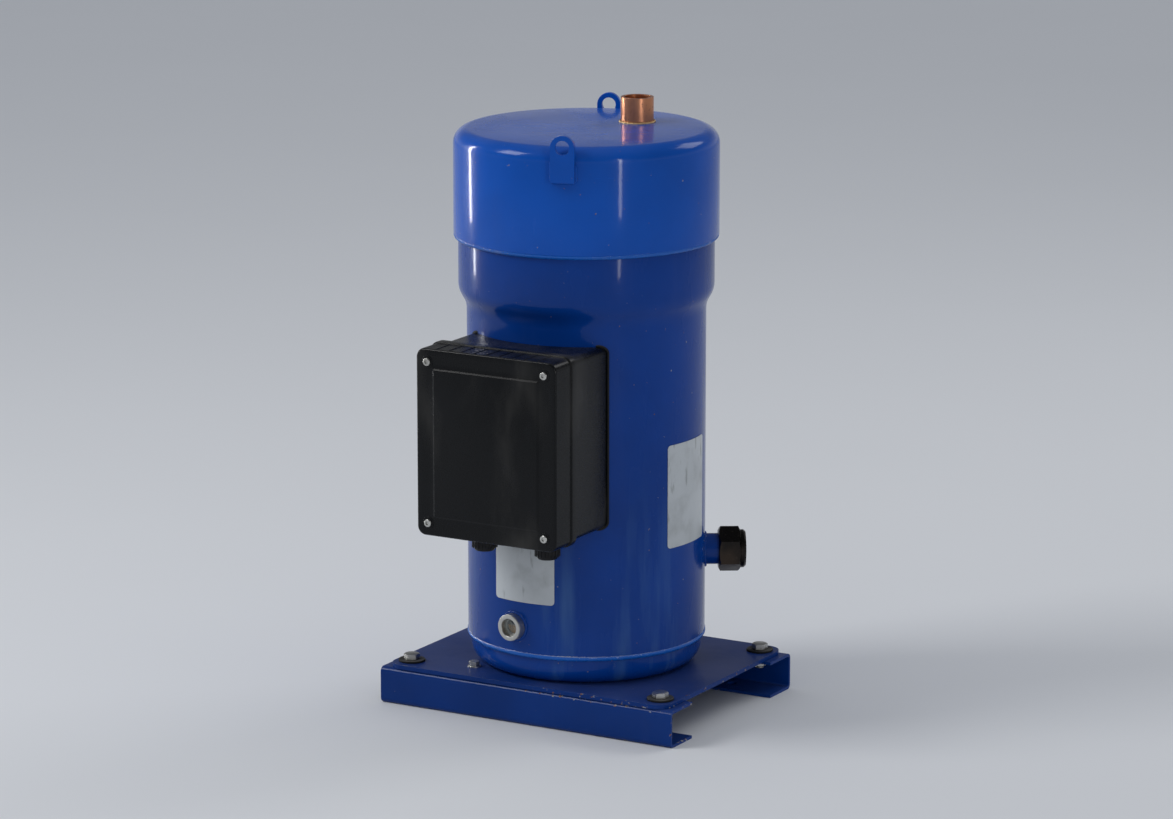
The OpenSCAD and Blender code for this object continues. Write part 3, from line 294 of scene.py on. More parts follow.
class Kind(Enum):
    """Kinds of named input that a recipe can have."""

    NUMBER = "NodeSocketFloat"
    COUNT = "NodeSocketInt"
    VECTOR = "NodeSocketVector"
    OBJECT = "NodeSocketObject"
    MATERIAL = "NodeSocketMaterial"


class Recipe(Graph):
    """A Geometry Nodes tree with named sizes."""

    def __init__(self, name: str) -> None:
        """Makes a tree that takes and returns a geometry.

        Args:
            name: Name of the tree.
        """
        super().__init__(bpy.data.node_groups.new(name, "GeometryNodeTree"))
        for way in ("INPUT", "OUTPUT"):
            self.tree.interface.new_socket("Geometry", in_out=way, socket_type="NodeSocketGeometry")
        self.entry = self.tree.nodes.new("NodeGroupInput")
        self.start = Signal(self, self.entry.outputs[0])

    def size(self, name: str, kind: Kind = Kind.NUMBER) -> Signal:
        """Adds a named input and returns it."""
        self.tree.interface.new_socket(name, in_out="INPUT", socket_type=kind.value)
        return Signal(self, self.entry.outputs[name])

    def part(self) -> Signal:
        """Adds an input for an object and returns its shape."""
        sockets = {"Object": self.size("Part", Kind.OBJECT)}
        return self.node("GeometryNodeObjectInfo", None, sockets, "Geometry")

    def soft(self, shape: Signal) -> Signal:
        """Returns a shape with smooth shading."""
        return self.node("GeometryNodeSetShadeSmooth", None, {"Geometry": shape})

    def swept(self, curve: Signal, section: Signal) -> Signal:
        """Returns what a section leaves along a curve, with its ends filled."""
        sockets = {"Curve": curve, "Profile Curve": section, "Fill Caps": True}
        return self.node("GeometryNodeCurveToMesh", None, sockets)

    def copies(self, points: Signal, part: Signal, **more: Signal) -> Signal:
        """Returns copies of a part on points, with a turn or a scale where one is given."""
        return self.node("GeometryNodeInstanceOnPoints", None, {"Points": points, "Instance": part} | more)

    def close(self, shape: Signal) -> "Recipe":
        """Ends the tree in real faces with a material, and returns the recipe.

        Args:
            shape: What the tree has made.

        Returns:
            The recipe.
        """
        real = self.node("GeometryNodeRealizeInstances", None, {0: shape})
        material = self.size("Material", Kind.MATERIAL)
        dressed = self.node("GeometryNodeSetMaterial", None, {"Geometry": real, "Material": material})
        out = self.tree.nodes.new("NodeGroupOutput")
        self.tree.links.new(dressed.socket, out.inputs[0])
        return self

    def run(
        self, material: bpy.types.Material, start: bpy.types.Mesh | None = None, **sizes: object
    ) -> bpy.types.Mesh:
        """Works the recipe out.

        Args:
            material: Finish of the result.
            start: Mesh that the recipe starts from, such as a path.
            sizes: Values of the named inputs, with _ for a space.

        Returns:
            A plain mesh.
        """
        holder = bpy.data.objects.new("holder", start or bpy.data.meshes.new("empty"))
        bpy.context.scene.collection.objects.link(holder)
        modifier = holder.modifiers.new("recipe", "NODES")
        modifier.node_group = self.tree
        values = {key.replace("_", " "): value for key, value in sizes.items()} | {"Material": material}
        for item in self.tree.interface.items_tree:
            if item.in_out == "INPUT" and item.name in values:
                modifier[item.identifier] = values[item.name]
        return settled(holder)


def ring_recipe() -> Recipe:
    """Returns the recipe that sets copies of a part in a ring about Z.

    Returns:
        The recipe.
    """
    r = Recipe("ring")
    part = r.part()
    count, radius, height = r.size("Count", Kind.COUNT), r.size("Radius"), r.size("Height")
    angle = r.node("GeometryNodeInputIndex") / count * math.tau + r.size("First turn")
    spot = r.vector(radius * angle.cosine(), radius * angle.sine(), height)
    points = r.node("GeometryNodePoints", None, {"Count": count, "Position": spot})
    return r.close(r.copies(points, part, Rotation=r.vector(0.0, 0.0, angle)))


def grid_recipe() -> Recipe:
    """Returns the recipe that sets copies of a part in rows and columns about a point.

    Returns:
        The recipe.
    """
    r = Recipe("grid")
    part = r.part()
    columns, rows = r.size("Columns", Kind.COUNT), r.size("Rows", Kind.COUNT)
    origin, across, along = (r.size(name, Kind.VECTOR) for name in ("Origin", "Across", "Along"))
    index = r.node("GeometryNodeInputIndex")
    column = index % columns - (columns - 1) / 2
    row = (index / columns + 0.001).floor() - (rows - 1) / 2

    def step(vector: Signal, times: Signal) -> Signal:
        """Returns a vector taken a number of times."""
        sockets = {"Vector": vector, "Scale": times}
        return r.node("ShaderNodeVectorMath", {"operation": "SCALE"}, sockets)

    spot = origin
    for move in (step(across, column), step(along, row)):
        spot = r.node("ShaderNodeVectorMath", {"operation": "ADD"}, {0: spot, 1: move})
    points = r.node("GeometryNodePoints", None, {"Count": columns * rows, "Position": spot})
    return r.close(r.copies(points, part))


def weld_recipe() -> Recipe:
    """Returns the recipe that lays overlapping ripples of weld metal along a path.

    Returns:
        The recipe.
    """
    r = Recipe("weld")
    size, spacing = r.size("Size"), r.size("Spacing")
    path = r.node("GeometryNodeMeshToCurve", None, {"Mesh": r.start})
    points = r.node("GeometryNodeCurveToPoints", {"mode": "LENGTH"}, {"Curve": path, "Length": spacing})
    tangent = {"Vector": points.twin("Tangent")}
    turn = r.node("FunctionNodeAlignRotationToVector", {"axis": "Z"}, tangent)
    uneven = r.node("FunctionNodeRandomValue", {"data_type": "FLOAT"}, {2: 0.94, 3: 1.06, "Seed": 7}, 1)
    ripple = r.node("GeometryNodeMeshUVSphere", None, {"Segments": 10, "Rings": 6, "Radius": 1.0})
    wide = size * uneven
    return r.close(r.copies(points, r.soft(ripple), Rotation=turn, Scale=r.vector(wide, wide, size * 0.72)))


def cord_recipe() -> Recipe:
    """Returns the recipe that sweeps a round cord along a closed path.

    Returns:
        The recipe.
    """
    r = Recipe("cord")
    path = r.node("GeometryNodeMeshToCurve", None, {"Mesh": r.start})
    sockets = {"Resolution": 10, "Radius": r.size("Radius")}
    section = r.node("GeometryNodeCurvePrimitiveCircle", None, sockets)
    return r.close(r.soft(r.swept(path, section)))


def spiral_recipe() -> Recipe:
    """Returns the recipe of a strip on a scroll's wrap, worked out from the wrap's half turns.

    Returns:
        The recipe.
    """
    r = Recipe("spiral")
    core, pitch, turns = r.size("Core"), r.size("Pitch"), r.size("Half turns")
    height, turn = r.size("Height"), r.size("First turn")
    line = r.node("GeometryNodeCurvePrimitiveLine")
    fine = r.node("GeometryNodeResampleCurve", None, {"Curve": line, "Count": turns * 40})
    along = r.node("GeometryNodeSplineParameter", output="Factor") * (turns - 0.02)
    half = along.floor()
    side = (half % 2.0) * 2.0 - 1.0
    reach = core + half * pitch / 2
    angle = along * math.pi + turn
    shift = side * pitch / 4
    x = shift * turn.cosine() + reach * angle.cosine()
    y = shift * turn.sine() + reach * angle.sine()
    spot = r.vector(x, y, height)
    bent = r.node("GeometryNodeSetPosition", None, {"Geometry": fine, "Position": spot})
    upright = r.node("GeometryNodeSetCurveNormal", {"mode": "Z_UP"}, {"Curve": bent})
    sockets = {"Width": r.size("Width"), "Height": r.size("Thickness")}
    section = r.node("GeometryNodeCurvePrimitiveQuadrilateral", None, sockets)
    return r.close(r.swept(upright, section))


def coil_recipe() -> Recipe:
    """Returns the recipe of end turns: bundles of wire from one slot of a motor to another.

    Returns:
        The recipe.
    """
    r = Recipe("coils")
    coils, wires = r.size("Coils", Kind.COUNT), r.size("Wires", Kind.COUNT)
    inner, spread, base, rise = r.size("Inner"), r.size("Spread"), r.size("Base"), r.size("Rise")
    span, wire = r.size("Span"), r.size("Wire")
    line = r.node("GeometryNodeCurvePrimitiveLine")
    fine = r.node("GeometryNodeResampleCurve", None, {"Curve": line, "Count": 18})
    sockets = {"Geometry": fine, "Amount": wires}
    many = r.node("GeometryNodeDuplicateElements", {"domain": "SPLINE"}, sockets)
    lane = many.twin("Duplicate Index") / wires
    along = r.node("GeometryNodeSplineParameter", output="Factor")
    arch = (along * math.pi).sine() ** 0.55
    angle = (along - 0.5) * span
    reach = inner + spread * (lane * 0.46 + along * 0.50)
    height = base + rise * arch * (1.0 - ((lane * 3.1).sine() * 0.16))
    spot = r.vector(reach * angle.cosine(), reach * angle.sine(), height)
    bent = r.node("GeometryNodeSetPosition", None, {"Geometry": many, "Position": spot})
    section = r.node("GeometryNodeCurvePrimitiveCircle", None, {"Resolution": 5, "Radius": wire})
    bundle = r.soft(r.swept(bent, section))
    turn = (r.node("GeometryNodeInputIndex") + 0.5) / coils * math.tau
    points = r.node("GeometryNodePoints", None, {"Count": coils})
    return r.close(r.copies(points, bundle, Rotation=r.vector(0.0, 0.0, turn)))


# ---- Finishes ----

DUST: Colour = (0.42, 0.40, 0.36)
# pale blue of the painted reflection streaks on the lower shell
SHEEN_BLUE: Colour = (0.055, 0.135, 0.310)
GRIME: Colour = (0.20, 0.21, 0.21)
PRIMER: Colour = (0.30, 0.31, 0.31)
RUST: Colour = (0.20, 0.085, 0.035)


@dataclass(frozen=True)
class Finish:
    """A finish that can be made into a material."""

    name: str
    slot: str
    colour: Colour
    roughness: float

    def dress(self, s: Shader) -> None:
        """Fills the shader. Each kind of finish does this in its own way.

        Args:
            s: The shader.
        """
        raise NotImplementedError

    def made(self) -> bpy.types.Material:
        """Returns the material, which is made the first time it is asked for.

        Returns:
            The material.
        """
        title = f"{self.name}_finish"
        known = bpy.data.materials.get(title)
        if known:
            return known
        shader = Shader(title)
        self.dress(shader)
        return shader.material


@dataclass(frozen=True)
class Enamel(Finish):
    """Gloss enamel with orange peel, dust, runs, pale streaks of painted reflection, and chips to primer and
    rust at its rims.
    """

    dust: float = 0.2
    wear: float = 0.2
    coat: float = 0.4
    # share of the painted reflection streaks on the lower part
    sheen: float = 0.0
    rims: tuple[tuple[str, float], ...] = ()

    def knocked(self, s: Shader) -> Signal:
        """Returns where the paint gets knocked: up to 1 along the rims, and 0.25 in patches away from them.

        Args:
            s: The shader.

        Returns:
            The mask.
        """
        mask = s.fade(s.noise(9.0, 2.0), 0.62, 0.72) * 0.25
        for axis, place in self.rims:
            mask = s.fade((s.axis(axis) - place).magnitude(), 0.0040, 0.0004).larger(mask)
        return mask * s.fade(s.noise(7.0, 2.0), 0.42, 0.60)

    def painted_sheen(self, s: Shader) -> Signal:
        """Returns pale streaks of painted reflection on the lower part of the shell.

        Args:
            s: The shader.

        Returns:
            The mask.
        """
        streaks = s.fade(s.noise(34.0, 4.0, s.stretched(1.0, 1.0, 0.09)), 0.46, 0.74)
        patches = s.fade(s.noise(6.5, 2.0, s.stretched(1.0, 1.0, 0.45)), 0.46, 0.66)
        return streaks * patches * s.fade(s.axis("Z"), 0.44, 0.14) * self.sheen

    def dress(self, s: Shader) -> None:
        """Fills the shader.

        Args:
            s: The shader.
        """
        tone = s.noise(5.0, 4.0)
        colour = s.blend(s.fade(tone, 0.3, 0.72), shade(self.colour, 0.86), shade(self.colour, 1.16))
        grimy = s.fade(s.noise(9.0, 6.0), 0.25, 0.85)
        runs = s.fade(s.noise(30.0, 3.0, s.stretched(1.0, 1.0, 0.06)), 0.56, 0.78)
        dust = s.fade(s.up(), 0.2, 1.05) * grimy * self.dust + runs * (self.dust * 0.12)
        chipped = s.fade(s.noise(190.0, 4.0) + self.knocked(s) * self.wear * 0.24, 0.735, 0.75)
        core = s.fade(s.noise(330.0, 2.0), 0.48, 0.56) * chipped
        smear = s.fade(s.noise(13.0, 6.0, s.stretched(1.0, 1.0, 0.35)), 0.45, 0.75)
        scratch = s.fade(s.noise(48.0, 2.0, s.stretched(1.0, 0.5, 8.0)), 0.725, 0.76) * self.wear
        # painted reflection: pale streaks that lighten the lower part of the shell
        sheen = self.painted_sheen(s)
        colour = s.blend(sheen, s.blend(dust, colour, DUST), SHEEN_BLUE)
        colour = s.blend(scratch * 0.5, colour, shade(self.colour, 1.9))
        colour = s.blend(chipped, colour, PRIMER)
        colour = s.blend(core, colour, RUST)
        waves = s.noise(8.0, 2.0, s.stretched(1.0, 1.0, 0.3)) * 7.0
        peel = s.noise(330.0, 2.0) + s.noise(60.0, 2.0) * 1.6 + waves - chipped * 2.0
        matt = tone * 0.06 + smear * 0.09 + sheen * 0.25 + dust * 0.55 + chipped * 0.35
        s.set(
            Base_Color=colour,
            Roughness=self.roughness + matt,
            Normal=s.relief(peel, 0.00008),
            Specular_IOR_Level=0.07,
            Coat_Weight=self.coat - chipped * self.coat,
            Coat_Roughness=0.07,
        )


@dataclass(frozen=True)
class Moulding(Finish):
    """Moulded plastic or rubber with a fine grain, rubbed places and dust on what faces up."""

    grain: float = 900.0
    depth: float = 0.00005
    dust: float = 0.25
    smears: float = 0.0

    def dress(self, s: Shader) -> None:
        """Fills the shader.

        Args:
            s: The shader.
        """
        grain = s.cells(self.grain)
        rubbed = s.fade(s.noise(14.0, 5.0), 0.52, 0.75)
        dust = s.fade(s.up(), 0.4, 0.95) * s.fade(s.noise(30.0, 5.0), 0.3, 0.8) * self.dust
        scratch = s.fade(s.noise(55.0, 2.0, s.stretched(1.0, 9.0, 0.4)), 0.70, 0.74)
        colour = s.blend(rubbed, shade(self.colour, 0.9), shade(self.colour, 1.25))
        colour = s.blend(scratch * 0.25, colour, shade(self.colour, 2.2))
        smears = s.fade(s.noise(11.0, 5.0, s.stretched(1.0, 1.0, 0.35)), 0.50, 0.78) * self.smears
        s.set(
            Base_Color=s.blend(dust + smears, colour, DUST),
            Roughness=self.roughness + grain * 0.08 - rubbed * 0.08 + dust * 0.3 + smears * 2.0,
            Specular_IOR_Level=0.2,
            Normal=s.relief(grain + s.noise(40.0, 2.0) * 2.0, self.depth),
        )


class Grain(Enum):
    """Marks that the last tool or process leaves on metal."""

    TURNED = "turned"
    PLATED = "plated"
    CAST = "cast"
    DRAWN = "drawn"


@dataclass(frozen=True)
class Metal(Finish):
    """Bare metal with its tool marks, tarnish and spots."""

    grain: Grain = Grain.TURNED
    tarnish: Colour = (0.25, 0.20, 0.15)
    age: float = 0.35

    def height(self, s: Shader) -> tuple[Signal, float]:
        """Returns the height of the tool marks and the depth that it stands for.

        Args:
            s: The shader.

        Returns:
            The height, and its depth in metres.
        """
        if self.grain is Grain.TURNED:
            return ((s.radius() + s.axis("Z")) * 9500.0).sine() + s.noise(90.0), 0.000008
        if self.grain is Grain.CAST:
            return s.noise(430.0, 6.0) * 1.5 + s.cells(260.0), 0.00030
        if self.grain is Grain.DRAWN:
            return s.noise(240.0, 3.0, s.stretched(1.0, 1.0, 0.05)) + s.noise(50.0), 0.00004
        return s.cells(520.0) * 0.6 + s.noise(120.0, 4.0), 0.00004

    def dress(self, s: Shader) -> None:
        """Fills the shader.

        Args:
            s: The shader.
        """
        height, depth = self.height(s)
        patch = s.fade(s.noise(21.0, 6.0), 0.42, 0.74)
        spots = s.fade(s.noise(190.0, 3.0), 0.62, 0.72) * self.age
        colour = s.blend(patch * self.age, self.colour, self.tarnish)
        colour = s.blend(spots, colour, shade(self.tarnish, 0.6))
        cast = self.grain is Grain.CAST
        s.set(
            Base_Color=s.blend(s.noise(70.0, 2.0) * 0.25, colour, shade(self.colour, 1.25)),
            Metallic=(0.75 if cast else 1.0) - spots * 0.5,
            Roughness=self.roughness + patch * 0.16 + spots * 0.25 + s.noise(300.0, 2.0) * 0.05,
            Normal=s.relief(height, depth),
        )


@dataclass(frozen=True)
class Laminated(Finish):
    """Stacked steel sheets, seen as fine lines one above another."""

    def dress(self, s: Shader) -> None:
        """Fills the shader.

        Args:
            s: The shader.
        """
        sheet = 1.0 * MM
        lines = (s.axis("Z") * (math.tau / sheet)).sine() * 0.5 + 0.5
        stain = s.fade(s.noise(18.0, 5.0), 0.45, 0.75)
        colour = s.blend(lines, shade(self.colour, 0.7), self.colour)
        s.set(
            Base_Color=s.blend(stain * 0.4, colour, (0.16, 0.15, 0.2)),
            Metallic=0.9,
            Roughness=self.roughness + stain * 0.12 + lines * 0.08,
            Normal=s.relief(lines + s.noise(200.0), 0.00008),
        )


@dataclass(frozen=True)
class Wound(Finish):
    """Enamelled wire under varnish."""

    def dress(self, s: Shader) -> None:
        """Fills the shader.

        Args:
            s: The shader.
        """
        strand = ((s.radius() + s.axis("Z") * 0.6) * 5200.0 + s.noise(30.0) * 9.0).sine() * 0.5 + 0.5
        pooled = s.fade(s.noise(34.0, 4.0), 0.45, 0.7)
        colour = s.blend(strand, shade(self.colour, 0.55), shade(self.colour, 1.3))
        s.set(
            Base_Color=s.blend(pooled * 0.5, colour, (0.22, 0.07, 0.02)),
            Metallic=0.35,
            Roughness=self.roughness + pooled * 0.15,
            Normal=s.relief(strand + s.noise(120.0), 0.00012),
            Coat_Weight=0.6,
            Coat_Roughness=0.12,
        )


@dataclass(frozen=True)
class Sleeve(Finish):
    """Woven sleeve on a motor lead."""

    def dress(self, s: Shader) -> None:
        """Fills the shader.

        Args:
            s: The shader.
        """
        fineness = 4200.0
        one = ((s.axis("X") + s.axis("Z") + s.axis("Y")) * fineness).sine()
        two = ((s.axis("X") - s.axis("Z") + s.axis("Y")) * fineness).sine()
        weave = one * two * 0.5 + 0.5
        s.set(
            Base_Color=s.blend(weave, shade(self.colour, 0.6), shade(self.colour, 1.3)),
            Roughness=self.roughness + weave * 0.1,
            Normal=s.relief(weave, 0.0002),
        )


@dataclass(frozen=True)
class ClearGlass(Finish):
    """Clear glass with faint smears."""

    def dress(self, s: Shader) -> None:
        """Fills the shader.

        Args:
            s: The shader.
        """
        smear = s.fade(s.noise(90.0, 4.0), 0.4, 0.8)
        s.set(
            Base_Color=s.blend(smear * 0.3, self.colour, shade(self.colour, 0.8)),
            Roughness=self.roughness + smear * 0.1,
            Alpha=smear * 0.10 + 0.16,
            Specular_IOR_Level=1.0,
            Coat_Weight=1.0,
        )


@dataclass(frozen=True)
class Oil(Finish):
    """Amber oil, darker in places."""

    def dress(self, s: Shader) -> None:
        """Fills the shader.

        Args:
            s: The shader.
        """
        swirl = s.noise(160.0, 3.0)
        s.set(
            Base_Color=s.blend(s.fade(swirl, 0.3, 0.7), shade(self.colour, 0.7), shade(self.colour, 1.2)),
            Roughness=self.roughness + swirl * 0.05,
            Coat_Weight=0.7,
            Coat_Roughness=0.05,
        )


@dataclass(frozen=True)
class PlateFace(Finish):
    """A pale bare plate, a little wavy, scuffed and smudged."""

    def dress(self, s: Shader) -> None:
        """Fills the shader.

        Args:
            s: The shader.
        """
        age = s.fade(s.noise(16.0, 4.0), 0.35, 0.75)
        scuff = s.fade(s.noise(120.0, 3.0, s.stretched(1.0, 1.0, 0.2)), 0.60, 0.70)
        smudge = s.fade(s.noise(34.0, 5.0), 0.48, 0.74)
        colour = s.blend(age * 0.5, self.colour, shade(self.colour, 0.82))
        colour = s.blend(smudge * 0.32, colour, GRIME)
        s.set(
            Base_Color=s.blend(scuff * 0.6, colour, GRIME),
            Roughness=self.roughness + age * 0.12 + scuff * 0.2,
            Normal=s.relief(s.noise(70.0, 3.0) + s.noise(22.0, 2.0) * 6.0 + scuff * 0.3, 0.00018),
        )


# One blue paint in two copies: the cap's is painted lighter as painted light, the shell's darker as painted
# shade.
SHELL = Enamel(
    "shell_enamel", "shell_paint", (0.0012, 0.037, 0.225), 0.20, dust=0.10, wear=0.3, coat=0.26, sheen=0.6,
    rims=(("Z", 0.566),))
CAP = Enamel(
    "cap_enamel", "cap_paint", (0.0015, 0.070, 0.385), 0.18, dust=0.06, wear=0.3, coat=0.32,
    rims=(("Z", 0.640),))
# Lighter blue than the shell and heavy pale dust on the weld beads: painted highlight along the welds, partly
# real dust in the ripples.
LIT_WELD = Enamel("weld_enamel_painted_highlight", "shell_paint", (0.005, 0.095, 0.420), 0.14, dust=2.0, wear=0.4, coat=0.55)
BASE = Enamel(
    "base_enamel", "base_paint", (0.0012, 0.025, 0.148), 0.31, dust=0.08, wear=0.42, coat=0.16,
    rims=(("X", -0.215), ("X", 0.215), ("Y", -0.168), ("Y", 0.168)))
RAIL = Enamel(
    "rail_enamel", "rail_paint", (0.0012, 0.028, 0.165), 0.26, dust=0.08, wear=0.5, coat=0.20,
    rims=(("X", -0.224), ("X", 0.224), ("Z", 0.0), ("Z", 0.047)))
BOX_PLASTIC = Moulding(
    "box_plastic", "black_plastic", (0.0026, 0.0032, 0.0042), 0.23, grain=700.0, depth=0.00003, dust=0.05,
    smears=0.09)
GLAND_PLASTIC = Moulding(
    "gland_plastic", "gland_plastic", (0.009, 0.009, 0.010), 0.36, grain=1400.0, depth=0.00002, dust=0.14)
RUBBER = Moulding(
    "black_rubber", "rubber", (0.012, 0.012, 0.012), 0.60, grain=1600.0, depth=0.00002, dust=0.25)
PTFE = Moulding(
    "seal_plastic", "seal_plastic", (0.78, 0.76, 0.68), 0.42, grain=1800.0, depth=0.00001, dust=0.05)
PHENOLIC = Moulding("phenolic", "moulding", (0.26, 0.10, 0.045), 0.36, grain=1200.0, depth=0.00002, dust=0.1)
SLOT_PAPER = Moulding(
    "slot_paper", "seal_plastic", (0.70, 0.62, 0.42), 0.55, grain=600.0, depth=0.00002, dust=0.05)
MODULE = Moulding(
    "module_case", "module_plastic", (0.070, 0.075, 0.085), 0.42, grain=1500.0, depth=0.00002, dust=0.1)
GLASS_SEAL = Moulding(
    "fused_glass", "glass_seal", (0.50, 0.36, 0.22), 0.14, grain=500.0, depth=0.00001, dust=0.0)
ZINC = Metal("zinc_plate", "zinc_steel", (0.52, 0.52, 0.50), 0.32, Grain.PLATED, (0.30, 0.29, 0.25), 0.5)
DARK_STEEL = Metal(
    "black_oxide", "dark_nut", (0.020, 0.018, 0.017), 0.24, Grain.PLATED, (0.10, 0.07, 0.05), 0.35)
BRIGHT_STEEL = Metal(
    "bright_steel", "machined_steel", (0.70, 0.71, 0.72), 0.16, Grain.TURNED, (0.45, 0.42, 0.38), 0.15)
GROUND_STEEL = Metal(
    "ground_steel", "machined_steel", (0.60, 0.61, 0.63), 0.22, Grain.TURNED, (0.42, 0.40, 0.37), 0.2)
SCROLL_IRON = Metal(
    "scroll_iron", "scroll_iron", (0.34, 0.35, 0.37), 0.30, Grain.TURNED, (0.22, 0.21, 0.20), 0.25)
CAST_IRON = Metal("cast_iron", "cast_iron", (0.17, 0.17, 0.175), 0.52, Grain.CAST, (0.12, 0.10, 0.085), 0.4)
PRESSED = Metal(
    "pressed_steel", "pressed_steel", (0.30, 0.30, 0.31), 0.42, Grain.PLATED, (0.18, 0.15, 0.12), 0.4)
ALUMINIUM = Metal(
    "cast_aluminium", "aluminium", (0.72, 0.73, 0.74), 0.36, Grain.CAST, (0.50, 0.50, 0.49), 0.25)
BRONZE = Metal("sintered_bronze", "bronze", (0.50, 0.32, 0.14), 0.32, Grain.TURNED, (0.25, 0.15, 0.08), 0.35)
BRASS = Metal("turned_brass", "brass", (0.66, 0.46, 0.18), 0.24, Grain.TURNED, (0.34, 0.21, 0.09), 0.4)
COPPER = Metal("drawn_copper", "copper", (0.62, 0.27, 0.14), 0.30, Grain.DRAWN, (0.22, 0.085, 0.05), 0.6)
BRAZE = Metal("braze_metal", "brass", (0.60, 0.42, 0.22), 0.34, Grain.PLATED, (0.25, 0.15, 0.09), 0.6)
LAMINATIONS = Laminated("laminations", "lamination_steel", (0.30, 0.31, 0.33), 0.40)
WINDING = Wound("winding_wire", "winding", (0.46, 0.17, 0.06), 0.28)
LEAD_SLEEVE = Sleeve("lead_sleeve", "lead_sleeve", (0.42, 0.05, 0.04), 0.7)
SIGHT = ClearGlass("sight_glass", "sight_glass", (0.30, 0.34, 0.33), 0.03)
OIL = Oil("refrigeration_oil", "sight_glass", (0.30, 0.15, 0.025), 0.12)
PLATE = PlateFace("bare_plate", "seal_plastic", (0.46, 0.49, 0.51), 0.30)

NODE_FINISHES: dict[str, Finish] = {
    "rail_front": RAIL, "rail_rear": RAIL, "base_plate": BASE, "ground_screw": ZINC,
    "partition_plate": PRESSED, "suction_fitting": COPPER, "discharge_fitting": COPPER,
    "sight_glass_body": ZINC, "sight_glass_lens": SIGHT, "equalisation_fitting": SHELL,
    "equalisation_seal": PTFE, "service_ports": ZINC, "lifting_lugs": CAP, "gland_locknuts": GLAND_PLASTIC,
    "terminal_plate": ZINC, "terminal_pins": COPPER, "pin_insulators": GLASS_SEAL, "terminal_block": PHENOLIC,
    "motor_protector": MODULE, "motor_leads": LEAD_SLEEVE, "lower_bearing_bracket": CAST_IRON,
    "lower_bearing_bush": BRONZE, "thrust_washer": BRONZE, "stator_core": LAMINATIONS,
    "stator_bolts": ZINC, "main_bearing_housing": CAST_IRON, "main_bearing_bush": BRONZE,
    "fixed_scroll": SCROLL_IRON, "fixed_scroll_bolts": DARK_STEEL, "discharge_seal": PTFE,
    "valve_seat": GROUND_STEEL, "valve_guard": GROUND_STEEL, "valve_disc": BRIGHT_STEEL,
    "orbiting_scroll": SCROLL_IRON, "orbiting_bearing": BRONZE, "oldham_ring": ALUMINIUM,
    "crankshaft": GROUND_STEEL, "drive_bush": BRONZE, "rotor_core": LAMINATIONS, "rotor_cage": ALUMINIUM,
    "upper_counterweight": CAST_IRON, "lower_counterweight": CAST_IRON, "oil_pickup_tube": COPPER,
}


# ---- Shapes ----


@dataclass
class Shape:
    """Points and faces of a piece before it becomes a mesh."""

    points: list[Vector] = field(default_factory=list)
    faces: list[tuple[int, ...]] = field(default_factory=list)

    def add(self, other: "Shape", place: Matrix | None = None) -> "Shape":
        """Adds another shape at a place, and returns this one.

        Args:
            other: The other shape.
            place: Where it goes, or None for where it is.

        Returns:
            This shape.
        """
        start = len(self.points)
        self.points += [place @ p if place else p.copy() for p in other.points]
        self.faces += [tuple(start + i for i in face) for face in other.faces]
        return self

    def moved(self, place: Matrix) -> "Shape":
        """Returns a copy of the shape at a place."""
        return Shape().add(self, place)

    def mesh(self, name: str) -> bpy.types.Mesh:
        """Returns a mesh with its seams closed, its faces outwards and its blunt edges soft.

        Args:
            name: Name of the mesh.

        Returns:
            The mesh.
        """
        mesh = bpy.data.meshes.new(name)
        mesh.from_pydata(self.points, [], self.faces)
        edit = bmesh.new()
        edit.from_mesh(mesh)
        bmesh.ops.remove_doubles(edit, verts=edit.verts, dist=1e-6)
        bmesh.ops.recalc_face_normals(edit, faces=edit.faces)
        edit.to_mesh(mesh)
        edit.free()
        return smoothed(mesh)


def bridged(
    rings: Sequence[Sequence[Vector]], close_rings: bool = False, start_cap: bool = True, end_cap: bool = True
) -> Shape:
    """Joins rings of equal length into a skin.

    Args:
        rings: The rings in order.
        close_rings: Whether the last ring joins the first again.
        start_cap: Whether the first ring is filled.
        end_cap: Whether the last ring is filled.

    Returns:
        The skin.
    """
    count = len(rings[0])
    shape = Shape([p for ring in rings for p in ring])
    pairs = [(i, i + 1) for i in range(len(rings) - 1)] + ([(len(rings) - 1, 0)] if close_rings else [])
    for low, high in pairs:
        for i in range(count):
            j = (i + 1) % count
            shape.faces.append((low * count + i, low * count + j, high * count + j, high * count + i))
    if start_cap:
        shape.faces.append(tuple(reversed(range(count))))
    if end_cap:
        shape.faces.append(tuple((len(rings) - 1) * count + i for i in range(count)))
    return shape


def turned(profile: Iterable[Pair], steps: int = 64, hollow: bool = False) -> Shape:
    """Turns a profile of (radius, height) pairs in metres about Z. A hollow one is a closed section.

    Args:
        profile: The pairs, in order.
        steps: Number of faces round the axis.
        hollow: Whether the last pair joins the first again.

    Returns:
        The shape.
    """
    turns = [math.tau * i / steps for i in range(steps)]
    rings = [[Vector((r * math.cos(a), r * math.sin(a), z)) for a in turns] for r, z in profile]
    return bridged(rings, hollow, not hollow, not hollow)


def arc(x: float, z: float, r: float, start: float, end: float, steps: int = 5) -> list[Pair]:
    """Returns points on an arc between two angles in degrees."""
    angles = (math.radians(start + (end - start) * i / steps) for i in range(steps + 1))
    return [(x + r * math.cos(a), z + r * math.sin(a)) for a in angles]


